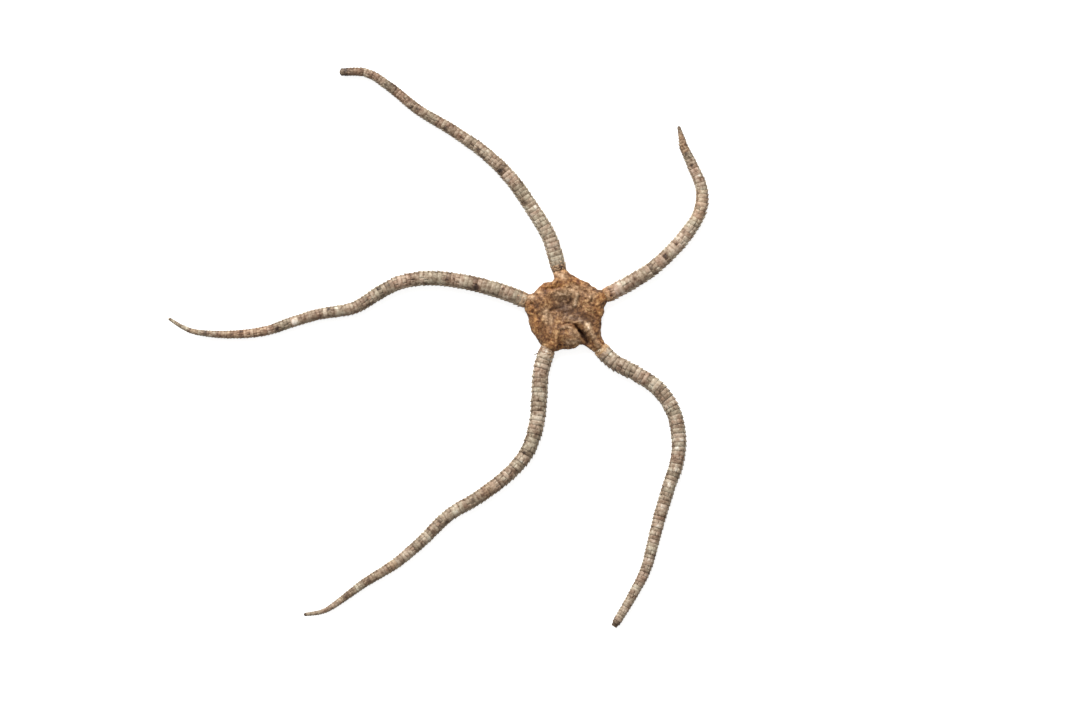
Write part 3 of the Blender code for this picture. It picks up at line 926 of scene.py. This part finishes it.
def tissue_tube(name, section):
    """A closed tube of tissue along the arm's route."""
    cut = ARM_CUT[name][::ROUTE_STRIDE]
    cut = cut[cut[:, 0] >= RINGS_START.get(name, 0.0)]
    curve = bpy.data.curves.new(name + "_tissue", "CURVE")
    curve.dimensions = "3D"
    curve.twist_mode = "Z_UP"
    curve.bevel_mode = "OBJECT"
    curve.bevel_object = section
    curve.use_fill_caps = True
    spline = curve.splines.new("POLY")
    spline.points.add(len(cut) - 1)
    for point, (_, x, y, lift, width) in zip(spline.points, cut):
        point.co = (*(DISC_AT + Vector((x, y, lift)) * MM), 1)
        point.radius = 0.5 * width * MM
    tube = bpy.data.objects.new(name + "_tissue", curve)
    bpy.context.scene.collection.objects.link(tube)
    only(tube)
    bpy.ops.object.convert(target="MESH")
    bpy.ops.object.shade_smooth()
    return bpy.context.object


def dried_tissue():
    """Dark brown dried flesh with a slight gloss, as glue-like as a dried tendon."""
    material, tree, shader = new_material("dried brown tissue", roughness=0.5, ior=1.45)
    place = add_node(tree, "TexCoord").outputs["Object"]
    grain = {"Vector": place, "Scale": 1 / (STREAK_MM * MM), "Detail": 4.0}
    streak = add_node(tree, "TexNoise", inputs=grain)
    brown = add_node(tree, "ValToRGB", inputs={"Fac": streak}, stops=[(0.3, "3a2c1e"), (0.7, "6e5841")])
    tree.links.new(brown.outputs["Color"], shader.inputs["Base Color"])
    bump = add_node(tree, "Bump", inputs={"Height": streak, "Strength": 0.5, "Distance": 0.1 * MM})
    tree.links.new(bump.outputs["Normal"], shader.inputs["Normal"])
    return material


tissue_material = dried_tissue()
section = tissue_section()
for name in ARM_ROUTE:
    tube = tissue_tube(name, section)
    dress(tube, tissue_material)
    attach(tube, "root")
    low, high = read_points(tube.data).min(0) / MM, read_points(tube.data).max(0) / MM
    print(tube.name, "from", low.round(1), "to", high.round(1))
bpy.data.objects.remove(section)

# %% [markdown]
# ## The disc's skin
#
# A copy of the disc's solid gives the rough shape. It is remeshed into small even faces, drawn in by the
# thickness of its granules, and smoothed. Then come the folds that the photo shows, each a line of a few
# points with a width and a height, and last a random crumple, because dried skin shrinks unevenly over
# what lies under it.

# %% Fields on the disc
DISC_XY = np.array(DISC_AT.to_2d()) / MM


def reach_of(points):
    """How far each point lies from the disc's middle, seen from above, in millimetres."""
    return np.linalg.norm(points[:, :2] / MM - DISC_XY, axis=1)


def smooth_step(values):
    """Eases values between 0 and 1, and holds the ends."""
    values = np.clip(values, 0, 1)
    return values * values * (3 - 2 * values)


def nearness(points, line, half_width):
    """1 on a line through places in millimetres from the disc's middle, and 0 past its half width."""
    flat = points[:, :2] / MM - DISC_XY
    nearest = np.full(len(flat), np.inf)
    for start, end in zip(line, line[1:] or line):
        start, way = np.array(start), np.subtract(end, start)
        share = np.clip((flat - start) @ way / max(way @ way, 1e-9), 0, 1)
        nearest = np.minimum(nearest, np.linalg.norm(flat - start - share[:, None] * way, axis=1))
    return smooth_step(1 - nearest / half_width)


def field(points, rows):
    """The strongest of several lines at each point. A row is a line, a half width and a strength."""
    values = np.zeros(len(points))
    for line, half_width, strength in rows:
        values = np.maximum(values, strength * nearness(points, line, half_width))
    return values


print("the disc's middle in mm", DISC_XY.round(1))

# %% Folds, knobs and cracks
# Each row is a line of places, the half width and the height, in millimetres. The notches at the rim are a
# place, a radius and the way the skin moves there, because the solid's rim is rounder than the photo's.
PALE_RIDGE = ((2.65, 4.5), (2.3, 3.2), (1.9, 1.7))
TEAR = ((3.3, -4.9), (3.7, -5.3), (4.3, -6.1), (4.9, -7.0), (5.3, -7.8))
CRACK = ((0.0, -2.9), (1.1, -2.9), (2.2, -3.3), (2.6, -4.1))
LOBE_SIDE = ((-1.3, -4.6), (-1.9, -6.4), (-1.7, -8.9))
KNOB = ((5.3, -3.4), (5.6, -4.0))
KNOB_RIDGE = ((5.9, -4.8), (6.9, -6.6), (8.2, -8.6))
GREY_KNOB = ((3.3, -2.2), (4.0, -2.4))
LOBE_LIP = ((-1.3, -4.3), (0.2, -3.7), (1.5, -4.6), (2.6, -5.6))
UPPER_LEFT_CREASE = ((-6.0, 5.7), (-3.6, 5.9), (-1.6, 6.4))
UPPER_RIGHT_CREASE = ((1.3, 7.3), (3.1, 5.8), (5.6, 4.3))
PITS = (
    (-9.0, 2.0), (-8.8, 0.0), (5.4, -2.6), (8.8, -3.1), (9.0, -5.3), (0.45, 2.3), (-7.2, -7.4), (6.3, 2.6),
)

FOLDS = (
    (PALE_RIDGE, 1.0, 0.6),
    (LOBE_LIP, 0.8, 0.6),
    (((0.9, -6.7), (1.2, -6.9)), 3.0, 0.5),
    (LOBE_SIDE, 0.8, -0.7),
    (CRACK, 0.6, -0.4),
    (TEAR, 1.0, -1.5),
    (KNOB, 1.0, 0.35),
    (KNOB_RIDGE, 1.0, 0.6),
    (GREY_KNOB, 0.95, 0.4),
    (UPPER_LEFT_CREASE, 0.8, -0.4),
    (UPPER_RIGHT_CREASE, 0.8, -0.4),
    (((-6.9, 4.9), (-4.7, 6.9), (-2.4, 7.9)), 0.9, 0.35),
    (((2.0, 7.9), (4.1, 6.8), (5.8, 5.2)), 0.9, 0.4),
    (((-0.3, 3.0), (-1.9, 5.3)), 0.7, -0.3),
    (((0.4, 3.2), (0.6, 6.2)), 0.6, -0.25),
    (((1.1, 2.6), (1.2, 4.5)), 0.7, -0.4),
    (((-1.6, 2.4), (-3.9, 3.7)), 0.7, -0.25),
    (((-1.7, 0.9), (-3.9, 0.3)), 0.7, -0.25),
    (((-0.6, -0.1), (-1.3, -2.3)), 0.7, -0.25),
    (((0.8, 0.1), (1.9, -1.4)), 0.7, -0.25),
    (((-6.1, -3.0), (-5.9, -7.9)), 0.9, -0.35),
    (((-4.1, -5.4), (-3.7, -8.4)), 0.9, 0.35),
    (((5.6, 1.9), (7.6, 1.0)), 0.8, -0.3),
    (((5.0, 0.4), (8.0, -1.1)), 0.8, -0.3),
)
NOTCHES = (
    ((-4.4, 8.8), 2.2, (1.0, -0.5)),
    ((3.9, -9.6), 1.7, (-0.1, 1.0)),
    ((10.4, 1.4), 2.0, (-0.5, -0.1)),
    ((9.9, -1.6), 2.2, (-0.45, 0.0)),
    ((-10.2, -1.2), 1.6, (0.3, 0.0)),
    ((8.2, 6.4), 1.3, (-0.2, -0.4)),
    ((8.1, -8.6), 4.4, (1.25, -1.25)),
)
COLLAR_FROM = 8.8
COLLAR_LENGTH = 2.2
COLLAR_DRAWN_IN = 0.16
COLLAR_MIDDLE = 1.65
COLLAR_REACH = 3.4
print(len(FOLDS), "folds and", len(NOTCHES), "notches")


def draw_in_collars(points):
    """Thins the skin towards each arm, so that the arm's plates come out from under it."""
    for rows in ARM_ROUTE.values():
        start = DISC_XY + rows[0][:2]
        way = np.subtract(rows[1][:2], rows[0][:2])
        way = way / np.linalg.norm(way)
        flat = points[:, :2] / MM
        along = (flat - start) @ way
        reach = (flat - DISC_XY) @ way
        axis = start + along[:, None] * way
        near = np.linalg.norm(flat - axis, axis=1) < COLLAR_REACH
        thin = COLLAR_DRAWN_IN * smooth_step((reach - COLLAR_FROM) / COLLAR_LENGTH) * near
        points[:, :2] += (axis - flat) * thin[:, None] * MM
        points[:, 2] += (COLLAR_MIDDLE * MM - points[:, 2]) * thin


# %% Skin of the disc
SKIN_VOXEL = 0.2 * MM
PIT_DEPTH = 0.6 * MM
PIT_RADIUS = 0.7
GRANULE_ROOM = 0.26 * MM
# Folds shape what lies above the first height, and the mouth what lies below the second. Each eases in.
UPPER_FROM = (1.3, 0.9)
LOWER_FROM = (1.4, 0.6)
# Each row is the size of a crumple and its height, in millimetres.
CRUMPLE = ((2.6, 1.0), (1.2, 0.45), (0.6, 0.08))


def underside_cuts():
    """The mouth, its five slits, which point along the arms, and a slit on each side of every arm's root."""
    cuts = [(((0, 0),), 1.5, 1.0)]
    for way in ARM_WAY.values():
        side = Vector((-way.y, way.x))
        cuts.append((((way * 0.4)[:], (way * 2.9)[:]), 0.45, 0.8))
        for hand in (-1, 1):
            inner, outer = way * 5.7 + side * hand * 1.9, way * 8.4 + side * hand * 2.3
            cuts.append(((inner[:], outer[:]), 0.36, 0.7))
    return cuts


def disc_skin():
    """The disc's remeshed skin, drawn in a little, with its folds and its crumple."""
    skin = own_copy(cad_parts["disc"], "disc_skin")
    only(skin)
    bpy.ops.object.mode_set(mode="EDIT")
    bpy.ops.mesh.select_all(action="SELECT")
    bpy.ops.mesh.remove_doubles(threshold=0.001 * MM)
    bpy.ops.object.mode_set(mode="OBJECT")
    apply_modifier(skin, "REMESH", mode="VOXEL", voxel_size=SKIN_VOXEL)
    apply_modifier(skin, "SMOOTH", factor=0.5, iterations=3)
    apply_modifier(skin, "DISPLACE", mid_level=0, strength=-GRANULE_ROOM)
    points = read_points(skin.data)
    for place, radius, (x, y) in NOTCHES:
        share = nearness(points, (place,), radius)[:, None]
        points[:, :2] += share * np.array([x, y]) * MM
    draw_in_collars(points)
    top = smooth_step((points[:, 2] / MM - UPPER_FROM[0]) / UPPER_FROM[1])
    for line, half_width, height in FOLDS:
        points[:, 2] += height * MM * top * nearness(points, line, half_width)
    for place in PITS:
        points[:, 2] -= PIT_DEPTH * top * nearness(points, (place,), PIT_RADIUS)
    under = 1 - smooth_step((points[:, 2] / MM - LOWER_FROM[0]) / LOWER_FROM[1])
    for line, half_width, depth in underside_cuts():
        points[:, 2] += depth * MM * under * nearness(points, line, half_width)
    write_points(skin.data, points)
    for size, height in CRUMPLE:
        texture = bpy.data.textures.new(f"crumple_{size}", "CLOUDS")
        texture.noise_scale = size * MM
        texture.noise_basis = "ORIGINAL_PERLIN"
        apply_modifier(skin, "DISPLACE", texture=texture, texture_coords="LOCAL", strength=height * MM)
    points = read_points(skin.data)
    points[:, 2] = np.maximum(points[:, 2], GRANULE_ROOM)
    write_points(skin.data, points)
    bpy.ops.object.shade_smooth()
    return skin


skin = disc_skin()
print("skin has", len(skin.data.polygons), "faces")

# %% [markdown]
# ## Stains and painted shade of the skin
#
# The dried skin isn't one brown. It is grey in the sunken middle, orange on the rim and at the arm roots,
# pale on the knobs and nearly black in the tear. Each of these is a field of the same kind as the folds,
# kept as an attribute that the material reads. Dark fields on creases, pits, the crack and the tear are
# painted shade in those recesses, and the pale field on the lobe's lip is a painted highlight. How far a
# point lies below its surroundings is kept as well, and the material darkens the hollows by it as painted
# shade.

# %% Stains and painted shade
MOUTH_FRAME = 5.2
GRANULES_STOP_BELOW = 0.9 * MM
ORANGE = (
    (((-6.0, 6.0), (-3.7, 6.2), (-1.6, 6.6)), 1.8, 0.95),
    (((1.9, 7.9), (3.8, 6.4), (5.6, 5.0)), 1.6, 1.0),
    (((-3.2, 10.6), (-0.6, 8.6)), 2.6, 0.75),
    (((-8.0, -1.6), (-7.4, -4.8)), 1.6, 0.7),
    (((7.9, 1.0), (8.3, -2.4)), 1.9, 0.75),
    (((8.6, 3.4), (10.4, 4.6)), 1.8, 0.8),
    (((-9.4, 2.4), (-8.8, -0.6)), 1.5, 0.7),
    (((-1.8, -6.8), (-1.6, -9.0)), 1.2, 0.8),
    (((7.4, -7.4), (9.2, -9.2)), 1.8, 0.7),
    (((-5.6, -6.0), (-3.4, -8.8)), 1.8, 0.5),
)
GREY = (
    (((-0.9, 1.9), (0.7, 1.3)), 3.6, 0.75),
    (PALE_RIDGE, 1.3, 0.8),
    (GREY_KNOB, 1.3, 0.9),
    (((-0.6, -1.2), (2.0, -1.6)), 2.0, 0.6),
    (((8.0, 5.6), (9.2, 5.4)), 1.0, 0.7),
    (((4.4, -4.7), (5.2, -6.2)), 0.7, 0.7),
)
PALE = (
    (((-5.3, -0.2), (-4.5, -2.2)), 1.9, 0.55),
    (PALE_RIDGE, 0.9, 0.75),
    (KNOB, 1.4, 1.3),
    (KNOB_RIDGE, 1.1, 0.5),
    (((8.6, -9.7), (9.6, -9.4)), 1.0, 0.7),
    # The pale on the lobe's lip is a painted highlight.
    (LOBE_LIP, 0.8, 0.45),
    (((1.4, -5.5), (2.8, -6.2)), 1.3, 0.4),
    (((-2.5, 9.9), (-0.5, 8.9)), 1.5, 0.6),
    (((-11.0, 3.4), (-9.0, 3.6)), 1.5, 0.5),
    (((-7.4, 5.2), (-6.2, 5.0)), 1.0, 0.25),
    (((-2.4, 4.4), (1.2, 4.8)), 2.2, 0.5),
    (((2.0, 6.4), (4.4, 5.6), (6.2, 4.2)), 1.8, 0.4),
    (((5.8, 5.8),), 1.2, 0.5),
    (((0.4, -7.8), (2.8, -7.4)), 1.5, 0.4),
)
# Dark rows on creases, pits, the crack and the tear are painted shade in those recesses; the others are dark
# patches of the skin.
DARK = (
    (((-1.6, 1.0), (0.4, 0.2)), 2.7, 0.85),
    (((1.0, -1.6), (4.6, -1.8), (8.0, -2.0)), 1.7, 0.6),
    (((-6.2, -5.2), (-5.4, -6.8)), 1.5, 0.35),
    (((-5.8, 5.4), (-4.6, 4.2)), 1.4, 0.25),
    (((1.1, 3.7), (1.15, 2.5)), 0.6, 0.5),
    (TEAR, 0.95, 1.1),
    (CRACK, 0.5, 0.5),
    (((3.7, -8.0), (4.3, -8.1)), 0.6, 0.7),
    (LOBE_SIDE, 0.9, 0.6),
    (((-9.0, 2.0),), 0.8, 0.8),
    (((-8.8, 0.0),), 0.8, 0.8),
    (((5.4, -2.6),), 0.7, 0.9),
    (((8.7, -3.0),), 0.7, 0.8),
    (((-7.0, -6.6), (-6.4, -9.2)), 0.8, 0.5),
    (((6.4, -1.2), (8.6, -1.6)), 1.0, 0.4),
)


def write_stains_and_shade(obj):
    """Writes on the skin the stain fields, which include painted shade and a painted highlight, and how
    hollow each point lies, which the material darkens as painted shade.
    """
    points = read_points(obj.data)
    stains_shade_and_highlight = {"orange": ORANGE, "grey": GREY, "pale": PALE, "dark": DARK}
    write_fields(obj, **{name: field(points, rows) for name, rows in stains_shade_and_highlight.items()})
    smoothed = own_copy(obj, "smoothed")
    apply_modifier(smoothed, "SMOOTH", factor=0.9, iterations=14)
    normals = np.empty(len(points) * 3, dtype=np.float32)
    smoothed.data.vertex_normals.foreach_get("vector", normals)
    # How far each point lies below the smoothed skin; the material darkens the hollows by it as painted
    # shade.
    below = ((read_points(smoothed.data) - points) * normals.reshape(-1, 3)).sum(1) / MM
    bpy.data.objects.remove(smoothed)
    bare = reach_of(points) < MOUTH_FRAME
    for way in ARM_WAY.values():
        bare |= nearness(points, ((way * MOUTH_FRAME)[:], (way * 9)[:]), 1.5) > 0.1
    granular = np.where(bare & (points[:, 2] < GRANULES_STOP_BELOW), 0.0, 1.0)
    write_fields(obj, hollow=below, granular=granular)
    return below


below = write_stains_and_shade(skin)
print("hollows reach", round(float(below.max()), 2), "mm and ridges", round(float(-below.min()), 2), "mm")

# %% [markdown]
# ## Granules
#
# The skin is set with limy granules. Real ones are 0.1 to 0.2 mm wide, which is finer than the photo shows,
# so they are drawn at about 0.25 to 0.5 mm, the grain that the photo does show. Geometry Nodes scatters
# copies of one small pebble over the skin, and the result is made real mesh. The stains of the skin under a
# granule pass to it on the way. A few stray granules lie on the first plates of each arm, and they thin out
# along it.

# %% Scatter the granules
GRANULE_SPACING = 0.29 * MM
GRANULE_RADIUS = 0.2 * MM
GRANULE_SIZES = (0.6, 1.2)
GRANULE_DENSITY = 24e6
# Strays lie this far from the disc's middle and this high up, in millimetres.
STRAY_FROM = 11.3
STRAY_LENGTH = 2.8
STRAY_ABOVE = 1.5
STRAY_PALENESS = 0.45


def granule_pebble():
    """The pebble that is scattered: a flattened ball of 21 faces."""
    bpy.ops.object.select_all(action="DESELECT")
    bpy.ops.mesh.primitive_uv_sphere_add(segments=7, ring_count=3, radius=GRANULE_RADIUS)
    sort_faces(GRANULE_RADIUS)
    pebble = bpy.context.object
    pebble.scale.z = 0.5
    apply_place()
    bpy.ops.object.shade_smooth()
    return pebble


def scatter_nodes(pebble):
    """A node group that sets pebbles all over a surface, each with its own size, turn and tone."""
    group = bpy.data.node_groups.new("granules", "GeometryNodeTree")
    group.interface.new_socket("Geometry", in_out="INPUT", socket_type="NodeSocketGeometry")
    group.interface.new_socket("Geometry", in_out="OUTPUT", socket_type="NodeSocketGeometry")
    surface = add_node(group, "NodeGroupInput").outputs[0]
    granular = add_node(group, "GeometryNodeInputNamedAttribute", inputs={"Name": "granular"})
    settings = {
        "Mesh": surface,
        "Distance Min": GRANULE_SPACING,
        "Density Max": GRANULE_DENSITY,
        "Density Factor": granular.outputs["Attribute"],
        "Seed": 5,
    }
    spread = add_node(
        group, "GeometryNodeDistributePointsOnFaces", {"distribute_method": "POISSON"}, settings
    ).outputs
    source = add_node(group, "GeometryNodeObjectInfo", inputs={"Object": pebble}).outputs["Geometry"]
    smallest, largest = GRANULE_SIZES
    size = add_node(group, "FunctionNodeRandomValue", inputs={2: smallest, 3: largest}).outputs[1]
    tone = add_node(group, "FunctionNodeRandomValue", inputs={"Seed": 3}).outputs[1]
    stamp = {"Points": spread["Points"], "Rotation": spread["Rotation"], "Instance": source, "Scale": size}
    stamped = add_node(group, "GeometryNodeInstanceOnPoints", inputs=stamp).outputs[0]
    named = {"Geometry": stamped, "Name": "tone", "Value": tone}
    kept = add_node(group, "GeometryNodeStoreNamedAttribute", {"domain": "INSTANCE"}, named).outputs[0]
    real = add_node(group, "GeometryNodeRealizeInstances", inputs={0: kept}).outputs[0]
    add_node(group, "NodeGroupOutput", inputs={0: real})
    return group


def scatter_granules(source, group):
    """Granules over a copy of this object, as one mesh."""
    granules = own_copy(source, source.name + "_granules")
    apply_modifier(granules, "NODES", node_group=group)
    return granules


def root_density(name, points):
    """How densely stray granules lie on an arm. They thin out over the first plates, on the upper side."""
    start = STRAY_FROM + SKIN_REACHES_ON.get(name, 0.0)
    share = np.clip(1 - (reach_of(points) - start) / STRAY_LENGTH, 0, 1) ** 2
    return share * (points[:, 2] > STRAY_ABOVE * MM)


pebble = granule_pebble()
group = scatter_nodes(pebble)
scattered = [scatter_granules(skin, group)]
for name, arm in arms.items():
    write_fields(arm, granular=root_density(name, read_points(arm.data)), pale=STRAY_PALENESS)
    scattered.append(scatter_granules(arm, group))
    for label in ("granular", "pale"):
        arm.data.attributes.remove(arm.data.attributes[label])
    print(name, "has", len(scattered[-1].data.polygons), "faces of stray granules")
bpy.data.objects.remove(pebble)
granules = join(scattered, "disc_granules")
print("granules have", len(granules.data.polygons), "faces")
print("their attributes are", sorted(a.name for a in granules.data.attributes if a.domain == "POINT"))

# %% [markdown]
# ## The mouth
#
# Nobody sees the underside in the photo, but the star can be turned over. A serpent star's mouth is a star
# of five slits that point along the arms. Between them stand five jaws with small blunt papillae along
# their edges, and behind each jaw lies a large oral shield. Small plates run from the mouth to each arm.
# Each kind is modelled once, as a low rounded tile, and copied round the disc.

# %% Plates of the mouth
TILE_THICK = 0.42
TILE_LOW = 0.03
SHIELD_AT = 4.75
JAW_AT = 2.75
PAPILLAE = (1.5, 2.0, 2.5, 3.0, 3.5)
# The first and the last floor plate of an arm, and the step, as distances from the disc's middle.
FLOOR_PLATES = (3.6, 7.8, 0.9)


def low_tile(name, length, width, sides, bevel):
    """A low tile with rounded edges, one corner of which points inwards, with its attributes."""
    bpy.ops.object.select_all(action="DESELECT")
    bpy.ops.mesh.primitive_cylinder_add(
        vertices=sides, radius=0.5, depth=1, rotation=(0, 0, math.pi / 2), location=(0, 0, 0)
    )
    tile = bpy.context.object
    tile.name = name
    apply_place()
    tile.scale = (length, width, TILE_THICK)
    apply_place()
    apply_modifier(tile, "BEVEL", width=bevel, segments=2, limit_method="ANGLE")
    bpy.ops.object.shade_smooth()
    # The tile's sides get a low rise, which the material darkens as painted shade.
    flat = np.abs(read_points(tile.data)[:, 2]) > 0.49 * TILE_THICK
    write_fields(tile, rise=np.where(flat, 0.9, 0.1), edge=0.0)
    return tile


def lay_tile(source, direction, reach, across, turn_deg, rng):
    """A copy of a tile at a distance from the disc's middle, beside the line in this direction."""
    copied = own_copy(source, "tile_copy")
    side = Vector((-direction.y, direction.x))
    at = direction * reach + side * across
    heading = math.atan2(direction.y, direction.x) + math.radians(turn_deg + rng.normal(0, 3))
    place = DISC_AT + Vector((at.x, at.y, TILE_LOW + TILE_THICK / 2)) * MM
    size = Matrix.Scale(MM * rng.normal(1, 0.03), 4)
    copied.matrix_world = Matrix.Translation(place) @ Matrix.Rotation(heading, 4, "Z") @ size
    tone, pink, orange = rng.normal(0.5, 0.07), rng.uniform(0.2, 0.8), rng.uniform(0.0, 0.35)
    write_fields(copied, tone=tone, pink=pink, orange=orange)
    return copied


def mouth_plates():
    """All the plates round the mouth, as one mesh."""
    rng = np.random.default_rng(41)
    shield = low_tile("oral_shield", 2.0, 2.3, 7, 0.16)
    jaw = low_tile("half_jaw", 2.4, 0.72, 10, 0.14)
    papilla = low_tile("papilla", 0.5, 0.26, 8, 0.09)
    floor_plate = low_tile("floor_plate", 1.0, 1.25, 8, 0.12)
    flank = low_tile("flank_plate", 0.95, 0.5, 8, 0.1)
    ways = [(way, name) for name, way in ARM_WAY.items()]
    ways.sort(key=lambda pair: math.atan2(pair[0].y, pair[0].x))
    tiles = []
    for (way, name), (following, _) in zip(ways, ways[1:] + ways[:1]):
        first, last, step = FLOOR_PLATES
        for k, reach in enumerate(np.arange(first, last + RINGS_START.get(name, 0.0), step)):
            tiles.append(lay_tile(floor_plate, way, reach, 0.0, 0, rng))
            for hand in (-1, 1):
                tiles.append(lay_tile(flank, way, reach, hand * (0.86 + 0.06 * k), 0, rng))
        between = (way + following).normalized()
        tiles.append(lay_tile(shield, between, SHIELD_AT, 0.0, 0, rng))
        for hand in (-1, 1):
            tiles.append(lay_tile(jaw, between, JAW_AT, hand * 0.46, hand * 9, rng))
            for reach in PAPILLAE:
                tiles.append(lay_tile(papilla, between, reach, hand * (0.42 + 0.27 * reach), hand * 70, rng))
        tiles.append(lay_tile(papilla, between, 1.25, 0.0, 0, rng))
    plates = join(tiles, "mouth_plates")
    apply_place()
    for source in (shield, jaw, papilla, floor_plate, flank):
        bpy.data.objects.remove(source)
    return plates


mouth = mouth_plates()
dress(mouth, plates_material)
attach(mouth, "root")
lowest = float(read_points(mouth.data)[:, 2].min() / MM)
print("mouth plates have", len(mouth.data.polygons), "faces, the lowest at", round(lowest, 3), "mm")

# %% [markdown]
# ## The disc's materials
#
# Skin and granules share one recipe: a brown that each granule shifts a little, then the stains on top, and
# painted shade in the hollows. The granules are a bit paler and rougher than the skin between them.

# %% Disc materials
PATCH_MM = 1.5
FLECK_MM = 0.75
# The hollow gain darkens the hollows as painted shade.
STAIN_AND_SHADE_GAIN = {"orange": 0.9, "grey": 0.85, "pale": 0.9, "dark": 0.85, "hollow": 1.15}
# A paint has a dark, a middle and a light colour. The dark stains, which are dark patches and painted shade
# in recesses, and the painted shade of the hollows take one plain dark brown.
PAINT_AT = (0.0, 0.5, 1.0)
SKIN_PAINT = ("55341b", "976b43", "cfa677")
GRANULE_PAINT = ("5b391e", "a0744a", "ddb582")
STAIN_PAINT = {
    "orange": ("69391c", "ab743f", "dea766"),
    "grey": ("5a4432", "96795e", "c6a98d"),
    "pale": ("b39069", "dfc09c", "f6e3cb"),
}
DARK_STAIN_AND_SHADE = "40220f"


def disc_surface(name, paint, roughness):
    """Dried skin or granules: a mottled brown, with the stains of the place and painted shade in the
    hollows.
    """
    material, tree, shader = new_material(name, roughness, 1.47)
    place = add_node(tree, "TexCoord").outputs["Object"]
    fields = {
        label: add_node(tree, "Attribute", {"attribute_name": label}).outputs["Fac"]
        for label in ("tone", *STAIN_AND_SHADE_GAIN)
    }
    grain = {"Vector": place, "Roughness": 0.6}
    patch = add_node(tree, "TexNoise", inputs={**grain, "Scale": 1 / (PATCH_MM * MM), "Detail": 3.0})
    fleck = add_node(tree, "TexNoise", inputs={**grain, "Scale": 1 / (FLECK_MM * MM), "Detail": 1.0})
    value = add_node(tree, "Math", {"operation": "MULTIPLY_ADD"}, {0: patch, 1: 1.8, 2: -1.16})
    value = add_node(tree, "Math", {"operation": "MULTIPLY_ADD"}, {0: fleck, 1: 1.0, 2: value})
    lighter = {"operation": "MULTIPLY_ADD", "use_clamp": True}
    value = add_node(tree, "Math", lighter, {0: fields["tone"], 1: 0.4, 2: value})
    colour = add_node(tree, "ValToRGB", inputs={"Fac": value}, stops=list(zip(PAINT_AT, paint)))
    for label, gain in STAIN_AND_SHADE_GAIN.items():
        # The dark and hollow layers take this brown: dark patches, and painted shade in recesses and
        # hollows.
        layer = linear(DARK_STAIN_AND_SHADE)
        if label in STAIN_PAINT:
            stops = list(zip(PAINT_AT, STAIN_PAINT[label]))
            layer = add_node(tree, "ValToRGB", inputs={"Fac": value}, stops=stops)
        gain = {0: fields[label], 1: gain}
        share = add_node(tree, "Math", {"operation": "MULTIPLY", "use_clamp": True}, gain)
        colour = add_node(tree, "Mix", {"data_type": "RGBA"}, {0: share, 6: colour, 7: layer})
    tree.links.new(colour.outputs[2], shader.inputs["Base Color"])
    bump = add_node(tree, "Bump", inputs={"Height": fleck, "Strength": 0.4, "Distance": 0.08 * MM})
    tree.links.new(bump.outputs["Normal"], shader.inputs["Normal"])
    return material


write_fields(skin, tone=0.3)
skin_material = disc_surface("dried granular skin", SKIN_PAINT, roughness=0.55)
granule_material = disc_surface("limy skin granules", GRANULE_PAINT, roughness=0.65)
for obj, material in ((skin, skin_material), (granules, granule_material)):
    dress(obj, material)
    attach(obj, "root")
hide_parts("disc")
print("disc dressed")
